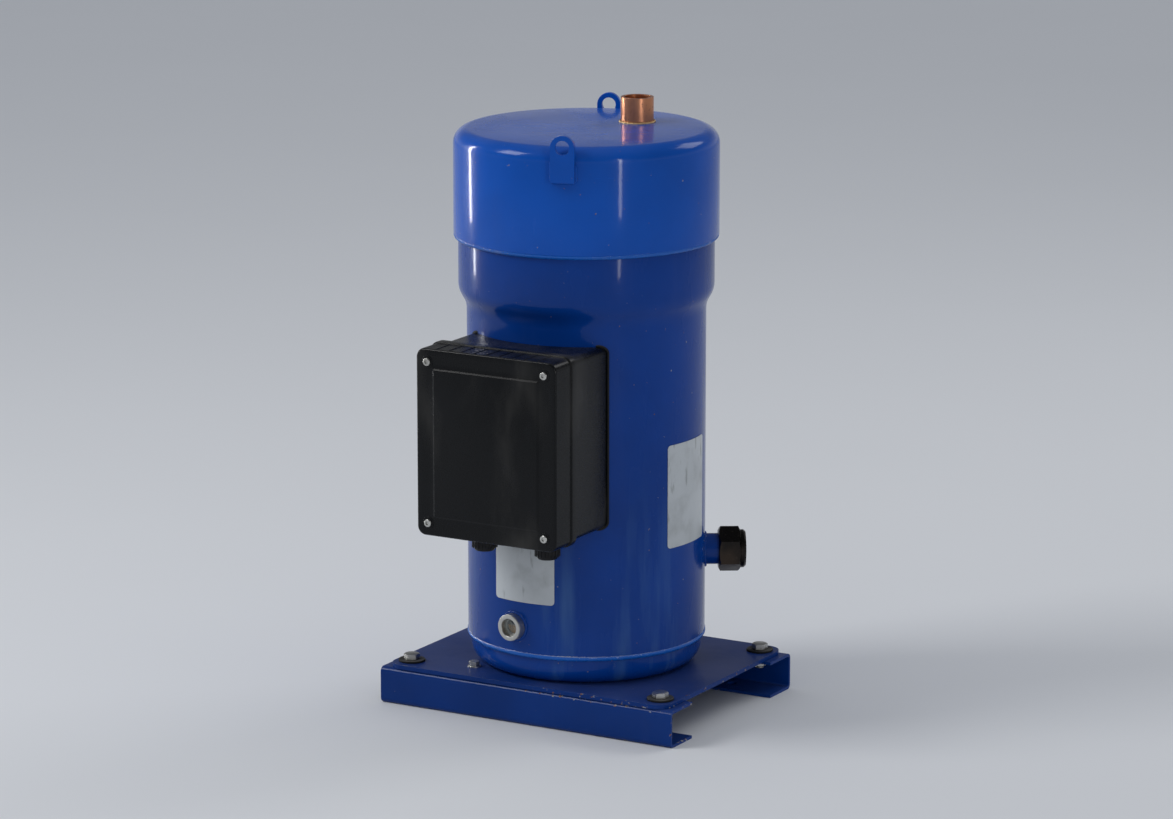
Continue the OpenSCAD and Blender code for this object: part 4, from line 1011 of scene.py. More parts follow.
def rounded(points: Sequence[Pair], radius: float, closed: bool = False) -> list[Pair]:
    """Rounds the corners of a profile by up to a radius.

    Args:
        points: The profile's corners.
        radius: The largest radius.
        closed: Whether the last corner joins the first again.

    Returns:
        The rounded profile.
    """
    out: list[Pair] = []
    count = len(points)
    for i, here in enumerate(points):
        if not closed and i in (0, count - 1):
            out.append(here)
            continue
        p, a, b = Vector(here), Vector(points[i - 1]), Vector(points[(i + 1) % count])
        reach = min(radius, 0.45 * (a - p).length, 0.45 * (b - p).length)
        first, last = p + (a - p).normalized() * reach, p + (b - p).normalized() * reach
        for step in range(5):
            t = step / 4
            q = first * (1 - t) ** 2 + p * (2 * t * (1 - t)) + last * t**2
            out.append((q.x, q.y))
    return out


def hexed(flats: float, low: float, high: float, hole: float = 0.0, both: bool = False) -> Shape:
    """Returns a hexagon head or nut with turned chamfers.

    Args:
        flats: Size across the flats.
        low: Height of its lower face.
        high: Height of its upper face.
        hole: Radius of a hole, or 0 for none.
        both: Whether the lower face is chamfered too.

    Returns:
        The shape, on the Z axis.
    """
    steps, edge = 60, 0.475 * flats
    drop = math.tan(math.radians(28))

    def corner(i: int) -> float:
        """Returns the hexagon's radius in a direction."""
        return flats / 2 / math.cos((math.tau * i / steps + math.pi / 6) % (math.pi / 3) - math.pi / 6)

    def ring(reach: float | None, z: float, fall: float) -> list[Vector]:
        """Returns a ring at a radius, or on the hexagon where none is given.

        Args:
            reach: Its radius, or None for the hexagon.
            z: Its height.
            fall: How much it drops past the chamfer's edge, with its sign.

        Returns:
            The points.
        """
        spots = []
        for i in range(steps):
            r = corner(i) if reach is None else reach
            a = math.tau * i / steps
            spots.append(Vector((r * math.cos(a), r * math.sin(a), z - fall * max(0.0, r - edge) * drop)))
        return spots

    bottom = [ring(edge, low, 0), ring(None, low, -1)] if both else [ring(None, low, 0)]
    rings = [*bottom, ring(None, high, 1), ring(edge, high, 0)]
    if hole:
        return bridged([*rings, ring(hole, high, 0), ring(hole, low, 0)], True, False, False)
    return bridged(rings)


def lathed(section: Sequence[Pair], edge: float, steps: int) -> Shape:
    """Turns a closed section about Z with its corners rounded by up to a radius."""
    return turned(rounded(section, edge, True), steps, True)


def washer(
    inner: float, outer: float, low: float, high: float, edge: float = 0.0, steps: int = 48
) -> Shape:
    """Returns a flat ring on the Z axis.

    Args:
        inner: Radius of its hole.
        outer: Its radius.
        low: Height of its lower face.
        high: Height of its upper face.
        edge: Radius of its rounded edges, or 0 for sharp ones.
        steps: Number of faces round it.

    Returns:
        The shape.
    """
    section = [(inner, low), (outer, low), (outer, high), (inner, high)]
    return lathed(section, edge, steps) if edge else turned(section, steps, True)


def threaded(radius: float, low: float, high: float, pitch: float = 1.75 * MM) -> Shape:
    """Returns a threaded rod with one groove for each pitch.

    Args:
        radius: Radius over the thread.
        low: Height of its lower end.
        high: Height of its upper end.
        pitch: Distance between two grooves.

    Returns:
        The shape.
    """
    profile, z, root = [], low, radius - 0.55 * pitch
    while z < high - pitch:
        profile += [(root, z), (radius, z + 0.45 * pitch), (radius, z + 0.55 * pitch)]
        z += pitch
    return turned([*profile, (root, z), (radius - 0.6 * pitch, high)], 32)


def rod(radius: float, low: float, high: float, steps: int = 72) -> Shape:
    """Returns a plain round rod on the Z axis."""
    return turned([(radius, low), (radius, high)], steps)


def faces_of(mesh: bpy.types.Mesh) -> Shape:
    """Returns a mesh's points and faces as a shape."""
    return Shape([v.co.copy() for v in mesh.vertices], [tuple(p.vertices) for p in mesh.polygons])


def smoothed(mesh: bpy.types.Mesh, below: float = 35.0) -> bpy.types.Mesh:
    """Makes a mesh's edges soft below an angle in degrees and returns it.

    Args:
        mesh: The mesh.
        below: The angle.

    Returns:
        The same mesh.
    """
    mesh.shade_smooth()
    mesh.set_sharp_from_angle(angle=math.radians(below))
    return mesh


def carved(mesh: bpy.types.Mesh, *tools: bpy.types.Mesh) -> bpy.types.Mesh:
    """Cuts closed shapes out of a closed mesh, one after another.

    Args:
        mesh: What is cut.
        tools: What is taken away.

    Returns:
        What is left.
    """
    holder = bpy.data.objects.new("holder", mesh)
    cutters = [bpy.data.objects.new("cutter", tool) for tool in tools]
    for item in (holder, *cutters):
        bpy.context.scene.collection.objects.link(item)
    for cutter in cutters:
        cut = holder.modifiers.new("cut", "BOOLEAN")
        cut.operation, cut.solver, cut.object = "DIFFERENCE", "EXACT", cutter
    left = settled(holder)
    for cutter in cutters:
        bpy.data.objects.remove(cutter)
    return smoothed(left)


def softened(node: str, edge: float) -> bpy.types.Mesh:
    """Copies a CAD node with its faces joined, its curves smooth and its sharp edges broken.

    Args:
        node: The node's name.
        edge: Width of the broken edges.

    Returns:
        The copy.
    """
    mesh = bpy.data.meshes.new(node)
    loose = faces_of(frame["nodes"][node].data)
    mesh.from_pydata(loose.points, [], loose.faces)
    edit = bmesh.new()
    edit.from_mesh(mesh)
    bmesh.ops.remove_doubles(edit, verts=edit.verts, dist=2e-6)
    bmesh.ops.dissolve_limit(edit, angle_limit=math.radians(0.3), verts=edit.verts, edges=edit.edges)
    edit.to_mesh(mesh)
    edit.free()
    mesh.shade_smooth()
    holder = bpy.data.objects.new("holder", mesh)
    bpy.context.scene.collection.objects.link(holder)
    bevel = holder.modifiers.new("edges", "BEVEL")
    bevel.limit_method, bevel.angle_limit = "ANGLE", math.radians(38)
    bevel.width, bevel.segments, bevel.use_clamp_overlap = edge, 2, False
    holder.modifiers.new("flat faces stay flat", "WEIGHTED_NORMAL").weight = 50
    return settled(holder)


def frame_outline(width: float, height: float, corner: float, inset: float = 0.0) -> list[Pair]:
    """Returns the outline of a rounded rectangle, as (x, z) pairs about its middle.

    Args:
        width: Width of the rectangle.
        height: Its height.
        corner: Radius of its corners.
        inset: How far inside of it the outline runs.

    Returns:
        The pairs, in order.
    """
    r = max(corner - inset, 0.8 * MM)
    w, h = width / 2 - inset - r, height / 2 - inset - r
    out = []
    for turn, (sx, sz) in enumerate(((1, 1), (-1, 1), (-1, -1), (1, -1))):
        for step in range(9):
            a = math.radians(turn * 90 + step * 11.25)
            out.append((sx * w + r * math.cos(a), sz * h + r * math.sin(a)))
    return out


def at_azimuth(azimuth: float, radius: float, height: float) -> Matrix:
    """Returns the place on the shell at an azimuth from the front, with +Z pointing outwards."""
    turn = Matrix.Rotation(math.radians(azimuth), 4, "Z")
    return turn @ Matrix.Translation((0, -radius, height)) @ Matrix.Rotation(math.radians(90), 4, "X")


class Outlet(Enum):
    """Openings in the shell, each with its azimuth, its height and its width."""

    TERMINALS = (0, 0.433, 0.072)
    SUCTION = (180, 0.345, 0.052)
    EQUALISATION = (122, 0.204, 0.042)
    SIGHT_GLASS = (-7, 0.132, 0.036)
    UPPER_PORT = (-140, 0.295, 0.011)
    LOWER_PORT = (-105, 0.120, 0.011)

    def __init__(self, azimuth: float, height: float, across: float) -> None:
        """Names the three measures."""
        self.azimuth, self.height, self.across = azimuth, height, across

    def place(self, out: float = 0.0) -> Matrix:
        """Returns its place at a distance from the axis, with +Z pointing outwards."""
        return at_azimuth(self.azimuth, out, self.height)


def path_mesh(points: Sequence[Vector], closed: bool = True) -> bpy.types.Mesh:
    """Returns a mesh of edges along a path.

    Args:
        points: The path's points.
        closed: Whether the last point joins the first again.

    Returns:
        The mesh.
    """
    mesh = bpy.data.meshes.new("path")
    count = len(points)
    edges = [(i, i + 1) for i in range(count - 1)] + ([(count - 1, 0)] if closed else [])
    mesh.from_pydata(points, edges, [])
    return mesh


def circle_path(radius: float, height: float, centre: Pair = (0.0, 0.0)) -> bpy.types.Mesh:
    """Returns a level circular path.

    Args:
        radius: Its radius.
        height: Its height.
        centre: Its middle.

    Returns:
        The path.
    """
    steps = max(24, int(radius / MM))
    turns = (math.tau * i / steps for i in range(steps))
    x, y = centre
    return path_mesh([Vector((x + radius * math.cos(a), y + radius * math.sin(a), height)) for a in turns])


def saddle_path(outlet: Outlet, radius: float, shell: float) -> bpy.types.Mesh:
    """Returns the path on which a round stub meets the shell.

    Args:
        outlet: Where the stub stands.
        radius: Radius of the stub.
        shell: Radius of the shell.

    Returns:
        The path.
    """
    spots, steps = [], 40
    for a in (math.tau * i / steps for i in range(steps)):
        x, y = radius * math.cos(a), radius * math.sin(a)
        spots.append(outlet.place() @ Vector((x, y, math.sqrt(shell**2 - x**2))))
    return path_mesh(spots)


def discharge_centre() -> Pair:
    """Returns where the discharge stub's axis goes through the cap."""
    a, out = math.radians(152), 0.08
    return out * math.sin(a), -out * math.cos(a)


# ---- Placing pieces ----


def wears(mesh: bpy.types.Mesh, finish: Finish) -> bpy.types.Mesh:
    """Gives a mesh a single finish and returns it.

    Args:
        mesh: The mesh.
        finish: Its finish.

    Returns:
        The same mesh.
    """
    mesh.materials.clear()
    mesh.materials.append(finish.made())
    return mesh


def publish(
    name: str,
    made: Shape | bpy.types.Mesh,
    finish: Finish,
    body: str = "shell",
    replaces: Sequence[str] = (),
) -> bpy.types.Object:
    """Puts a finished piece into the scene.

    Args:
        name: The piece's name.
        made: Its shape or mesh, in place.
        finish: Its finish.
        body: The body that it moves with.
        replaces: CAD nodes that it stands for.

    Returns:
        The piece.
    """
    mesh = made.mesh(name) if isinstance(made, Shape) else made
    piece = bpy.data.objects.new(name, wears(mesh, finish))
    mesh.name = name
    bpy.context.scene.collection.objects.link(piece)
    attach(piece, body)
    if replaces:
        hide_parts(*replaces)
    log.info("%s: %d faces on %s", name, len(mesh.polygons), body)
    return piece


class Template:
    """A part that recipes copy and that isn't shown itself."""

    def __init__(self, shape: Shape) -> None:
        """Makes the part from a shape."""
        self.object = bpy.data.objects.new("template", shape.mesh("template"))

    def __enter__(self) -> bpy.types.Object:
        """Lends the part."""
        return self.object

    def __exit__(self, *_: object) -> None:
        """Takes the part away again."""
        bpy.data.objects.remove(self.object)


@dataclass
class Recipes:
    """The recipes that the sub-assemblies share."""

    ring: Recipe = field(default_factory=ring_recipe)
    grid: Recipe = field(default_factory=grid_recipe)
    weld: Recipe = field(default_factory=weld_recipe)
    cord: Recipe = field(default_factory=cord_recipe)
    spiral: Recipe = field(default_factory=spiral_recipe)
    coils: Recipe = field(default_factory=coil_recipe)

    def in_ring(self, shape: Shape, finish: Finish, count: int, **sizes: float) -> bpy.types.Mesh:
        """Sets copies of a part in a ring about Z.

        Args:
            shape: The part.
            finish: Its finish.
            count: How many copies.
            sizes: Radius, Height and First_turn of the ring, which are 0 unless given.

        Returns:
            The copies as one mesh.
        """
        sizes = {"Radius": 0.0, "Height": 0.0, "First_turn": 0.0} | sizes
        with Template(shape) as part:
            return self.ring.run(finish.made(), Part=part, Count=count, **sizes)

    def in_grid(
        self,
        shape: Shape,
        finish: Finish,
        counts: tuple[int, int],
        origin: Sequence[float],
        across: Sequence[float],
        along: Sequence[float] = (0.0, 0.0, 0.0),
    ) -> bpy.types.Mesh:
        """Sets copies of a part in columns and rows about a point.

        Args:
            shape: The part.
            finish: Its finish.
            counts: How many columns and rows.
            origin: The point in the middle.
            across: Step from column to column.
            along: Step from row to row.

        Returns:
            The copies as one mesh.
        """
        columns, rows = counts
        with Template(shape) as part:
            return self.grid.run(finish.made(), Part=part, Columns=columns, Rows=rows, Origin=origin,
                                 Across=across, Along=along)


# ---- Sub-assemblies ----


@dataclass
class MountingBase:
    """Bolts, washers and nuts that hold the base plate on its rails."""

    recipes: Recipes
    span_x: float = 0.384
    span_y: float = 0.2794
    top: float = 0.056
    thread_r: float = 0.006
    flats: float = 0.019
    head: float = 0.0075
    face_r: float = 0.0088
    washer_r: float = 0.018
    washer_t: float = 0.003
    nut_t: float = 0.010
    flange_r: float = 0.012
    stack: float = 0.010

    def _set(self, name: str, shape: Shape, finish: Finish, node: str) -> None:
        """Places one part at the four corners and publishes it.

        Args:
            name: Name of the piece.
            shape: One part, on the Z axis.
            finish: Its finish.
            node: The CAD node that it stands for.
        """
        origin, across, along = (0.0, 0.0, self.top), (self.span_x, 0.0, 0.0), (0.0, self.span_y, 0.0)
        mesh = self.recipes.in_grid(shape, finish, (2, 2), origin, across, along)
        publish(name, mesh, finish, replaces=[node])

    def build(self) -> None:
        """Makes the fasteners."""
        t, r, under = self.washer_t, self.thread_r, -self.stack
        low = under - self.nut_t
        bolt = hexed(self.flats, t + 0.6 * MM, t + self.head)
        bolt.add(rod(self.face_r, t, t + 0.7 * MM, 48)).add(threaded(r, low - 4 * MM, t))
        self._set("base_bolt_set", bolt, ZINC, "base_bolts")
        ring = washer(r + 0.1 * MM, self.washer_r, 0.0, t, 0.9 * MM, 64)
        self._set("base_washer_set", ring, RUBBER, "base_washers")
        hole = r + 0.05 * MM
        nut = hexed(self.flats, low, under - 1.2 * MM, hole, True)
        nut.add(washer(hole, self.flange_r, under - 1.4 * MM, under, 0.3 * MM))
        self._set("base_nut_set", nut, ZINC, "base_nuts")


@dataclass
class PressureShell:
    """The welded shell, its caps, weld beads and bare plates."""

    recipes: Recipes
    radius: float = SHELL_R
    wall: float = 0.005
    upper: float = 0.171
    bottom: float = 0.096
    flare: Pair = (0.548, 0.566)
    top: float = 0.664
    cap: float = 0.177
    cap_wall: float = 0.006
    cap_edge: float = 0.020
    cap_span: Pair = (0.640, CAP_TOP)
    stub_r: float = 0.022
    foot: Pair = (0.056, 0.112)
    foot_edge: float = 0.024
    bead: float = 0.0044
    lug_span: Pair = (0.7375, 0.762)
    lug_half: float = 0.0165
    lug_azimuth: float = 20.0
    seam_azimuth: float = 205.0
    plate_t: float = 0.0007
    steps: int = 256

    def _body(self) -> None:
        """Makes the shell with its rolled flare, drilled for all that passes through it."""
        r, u, w, lift = self.radius, self.upper, self.wall, 1.5 * MM
        low, high = self.flare
        outside = [(r, self.bottom), (r, low), (u, high), (u, self.top)]
        inside = [(u - w, self.top), (u - w, high + lift), (r - w, low + lift), (r - w, self.bottom)]
        section = self._split(rounded([*outside, *inside], 9 * MM, True))
        drills = Shape()
        for outlet in Outlet:
            drills.add(rod(outlet.across / 2 + 0.05 * MM, r - 0.03, r + 0.02), outlet.place())
        skin = carved(turned(section, self.steps, True).mesh("shell_body"), drills.mesh("drills"))
        publish("shell_body", skin, SHELL, replaces=["main_shell"])

    def _cap(self) -> None:
        """Makes the top cap with its rounded edge, drilled for the discharge stub."""
        low, high = self.cap_span
        c, e, w, lip = self.cap, self.cap_edge, self.cap_wall, 1.6 * MM
        section = [(c - self.wall, low), (c - lip, low), *arc(c - lip, low + lip, lip, -90, 0)]
        section += [(c, low + 0.4 * (high - low)), *arc(c - e, high - e, e, 0, 90, 12)]
        section += [(r, high) for r in (0.10, 0.05, 0.002, 0.0)] + [(0.0, high - w), (c - e, high - w)]
        section += arc(c - e, high - e, e - w, 90, 0, 8)
        drill = rod(self.stub_r + 0.05 * MM, high - 0.03, high + 0.02)
        drill = drill.moved(Matrix.Translation((*discharge_centre(), 0.0)))
        skin = carved(turned(section, self.steps, True).mesh("shell_cap"), drill.mesh("drill"))
        publish("shell_cap", skin, CAP, replaces=["top_cap"])

    def _foot(self) -> None:
        """Makes the bottom cap."""
        low, high = self.foot
        e, w = self.foot_edge, self.wall
        b = self.radius - w
        section = [(0.0, low), (b - e, low), *arc(b - e, low + e, e, -90, 0, 14), (b, high), (b - w, high)]
        section += [*arc(b - e, low + e, e - w, 0, -90, 10), (0.0, low + w)]
        publish("shell_foot", turned(section, self.steps, True), SHELL, replaces=["bottom_cap"])

    @staticmethod
    def _split(section: Sequence[Pair], longest: float = 0.06) -> list[Pair]:
        """Splits long straight stretches so that no face is much longer than wide.

        Args:
            section: The closed section.
            longest: Length of the longest stretch.

        Returns:
            The section with its new points.
        """
        out = []
        for i, here in enumerate(section):
            after = section[(i + 1) % len(section)]
            pieces = max(1, int(math.dist(here, after) / longest))
            out += [tuple(Vector(here).lerp(Vector(after), k / pieces)) for k in range(pieces)]
        return out

    def _bead(
        self, name: str, path: bpy.types.Mesh, size: float, finish: Finish, replaces: Sequence[str] = ()
    ) -> None:
        """Lays a weld bead along a path."""
        mesh = self.recipes.weld.run(finish.made(), start=path, Size=size, Spacing=size * 0.33)
        publish(name, mesh, finish, replaces=replaces)

    def _lug_path(self, turn: float) -> bpy.types.Mesh:
        """Returns the path round the foot of a lifting lug.

        Args:
            turn: Angle from the front lug in degrees.

        Returns:
            The path.
        """
        low, high = self.lug_span
        half, cut, parts = self.lug_half, 3 * MM, 8
        side = [(-half, high), (-half, low + cut), (-half + cut, low)]
        spots = side + [(-x, z) for x, z in reversed(side)]
        place = Matrix.Rotation(math.radians(self.lug_azimuth + turn), 4, "Z")
        path = []
        for (x0, z0), (x1, z1) in zip(spots, spots[1:]):
            for k in range(parts):
                x, z = x0 + (x1 - x0) * k / parts, z0 + (z1 - z0) * k / parts
                path.append(place @ Vector((x, -math.sqrt(self.cap**2 - x * x) - 0.4 * MM, z)))
        return path_mesh(path, False)

    def _plate(
        self, name: str, azimuth: float, height: float, width: float, tall: float, corner: float = 5 * MM
    ) -> None:
        """Fixes a thin bare plate with round corners to the shell.

        Args:
            name: Name of the piece.
            azimuth: Direction of its middle.
            height: Height of its middle.
            width: Width round the shell.
            tall: Height from edge to edge.
            corner: Radius of its corners.
        """
        out = self.radius + 0.15 * MM
        inner = width / 2 - corner
        bends = [inner + corner * math.sin(math.radians(step)) for step in range(15, 91, 15)]
        across = [-u for u in reversed(bends)] + [inner * k / 10 for k in range(-10, 11)] + bends
        rings = []
        for u in across:
            over = max(0.0, abs(u) - inner)
            half = tall / 2 - (corner - math.sqrt(max(0.0, corner**2 - over**2)))
            a = math.radians(azimuth) + u / self.radius
            ring = []
            for lift, z in ((0, -half), (self.plate_t, -half), (self.plate_t, half), (0, half)):
                ring.append(Vector(((out + lift) * math.sin(a), -(out + lift) * math.cos(a), height + z)))
            rings.append(ring)
        publish(name, bridged(rings), PLATE)

    def build(self) -> None:
        """Makes the shell's pieces."""
        self._body()
        self._cap()
        self._foot()
        path = circle_path(self.radius - 3.2 * MM, self.bottom - 0.8 * MM)
        self._bead("foot_weld", path, self.bead, LIT_WELD, ["weld_beads"])
        path = circle_path(self.upper + 1.4 * MM, self.cap_span[0] - 0.6 * MM)
        self._bead("cap_weld", path, self.bead, LIT_WELD)
        for name, turn in (("front", 0.0), ("rear", 180.0)):
            self._bead(f"lug_weld_{name}", self._lug_path(turn), 2.4 * MM, CAP)
        seam = at_azimuth(self.seam_azimuth, self.radius, 0.0)
        line = [seam @ Vector((0, z * 0.01 + 0.10, 0)) for z in range(45)]
        self._bead("shell_seam", path_mesh(line, False), 1.8 * MM, SHELL)
        for name, outlet, reach, size in (
            ("suction", Outlet.SUCTION, 26.0 * MM, 2.4 * MM),
            ("equal", Outlet.EQUALISATION, 21.0 * MM, 2.4 * MM),
            ("sight", Outlet.SIGHT_GLASS, 18.0 * MM, 2.4 * MM),
            ("upper_port", Outlet.UPPER_PORT, 5.6 * MM, 1.3 * MM),
            ("lower_port", Outlet.LOWER_PORT, 5.6 * MM, 1.3 * MM),
        ):
            path = saddle_path(outlet, reach + size * 0.4, self.radius)
            self._bead(f"{name}_weld", path, size, BRAZE if outlet is Outlet.SUCTION else SHELL)
        self._plate("front_plate", azimuth=-2, height=0.2075, width=0.092, tall=0.082)
        self._plate("side_plate", azimuth=88, height=0.305, width=0.090, tall=0.140)


@dataclass
class Connections:
    """Details of the stubs, sight glass, equalisation fitting and service ports."""

    recipes: Recipes
    shell: float = SHELL_R
    cap_top: float = CAP_TOP
    braze_r: float = 0.0227
    glass_face: float = 0.012
    glass_r: float = 0.0122
    ring_r: float = 0.0181
    oil_r: float = 0.0096
    oil_level: float = 0.0015
    nut_span: Pair = (0.018, 0.056)
    nut_flats: float = 0.054
    nut_hole: float = 0.0211
    nut_face: float = 0.0258
    plug_r: float = 0.0125
    port_length: float = 0.0088
    port_r: float = 0.0056
    port_cap_r: float = 0.0075
    port_cap: float = 0.0138
    knurls: int = 26

    def _discharge(self) -> None:
        """Adds the braze ring where the discharge stub enters the cap."""
        path = circle_path(self.braze_r, self.cap_top + 0.4 * MM, discharge_centre())
        mesh = self.recipes.weld.run(BRAZE.made(), start=path, Size=2.2 * MM, Spacing=1.4 * MM)
        publish("discharge_braze", mesh, BRAZE)

    def _sight_glass(self) -> None:
        """Adds the ring round the sight glass and the oil behind it."""
        face = self.shell + self.glass_face
        place = Outlet.SIGHT_GLASS.place()
        inner, outer, step = self.glass_r, self.ring_r, 0.5 * MM
        back, shoulder, front = face - 3.9 * MM, face - 1.5 * MM, face + 0.6 * MM
        section = [(inner, back), (inner, front), (outer - step, front), (outer - step, shoulder)]
        section += [(outer, shoulder), (outer, back)]
        ring = lathed(section, 0.7 * MM, 72)
        publish("sight_ring", ring.moved(place), ZINC)
        steps, r = 40, self.oil_r
        turns = (math.radians(-98 + 196 * i / steps) for i in range(steps + 1))
        round_it = (Vector((r * math.sin(a), -r * math.cos(a), 0)) for a in turns)
        low = [spot for spot in round_it if spot.y < self.oil_level]
        rings = [[p + Vector((0, 0, face - depth)) for p in low] for depth in (16 * MM, 11.5 * MM)]
        publish("sight_oil", bridged(rings).moved(place), OIL)

    def _equalisation(self) -> None:
        """Makes the equalisation fitting's dark cap nut and its bright plug."""
        low, high = (self.shell + out for out in self.nut_span)
        place = Outlet.EQUALISATION.place()
        nut = hexed(self.nut_flats, low, high - 8 * MM, self.nut_hole, True)
        face, seat, floor = self.nut_face, high - 10 * MM, high - 1.2 * MM
        nut.add(turned([(self.nut_hole, seat), (face, high - 8.4 * MM), (face, high - 4 * MM),
                        (face - 2.3 * MM, floor), (0.0, floor), (0.0, seat)], 96, True))
        publish("equalisation_nut", nut.moved(place), DARK_STEEL, replaces=["equalisation_cap_nut"])
        r, under = self.plug_r, high - 3 * MM
        section = [(r, under), (r, high - 0.3 * MM), (r - 2 * MM, high), (0.0, high), (0.0, under)]
        plug = lathed(section, 0.8 * MM, 64)
        publish("equalisation_plug", plug.moved(place), BRIGHT_STEEL)

    def _service_caps(self) -> None:
        """Makes the knurled caps of the service ports."""
        bore, r, top = self.port_r, self.port_cap_r, self.port_cap
        ridge = ((0, -0.5 * MM), (0.7 * MM, 0), (0, 0.5 * MM))
        rib = bridged([[Vector((x, y, z)) for x, y in ridge] for z in (0, 9 * MM)])
        knurl = self.recipes.in_ring(rib, BRASS, self.knurls, Radius=r - 0.2 * MM, Height=0.5 * MM)
        section = [(bore, 0), (r, 0), (r, top - 3.6 * MM), (r - 2 * MM, top), (0.0, top)]
        section += [(0.0, top - 2.8 * MM), (bore, top - 2.8 * MM)]
        cap = lathed(section, 0.6 * MM, 40).add(faces_of(knurl))
        both = Shape()
        for port in (Outlet.UPPER_PORT, Outlet.LOWER_PORT):
            both.add(cap, port.place(self.shell + self.port_length))
        publish("service_cap_set", both, BRASS, replaces=["service_port_caps"])

    def build(self) -> None:
        """Makes the details."""
        self._discharge()
        self._sight_glass()
        self._equalisation()
        self._service_caps()


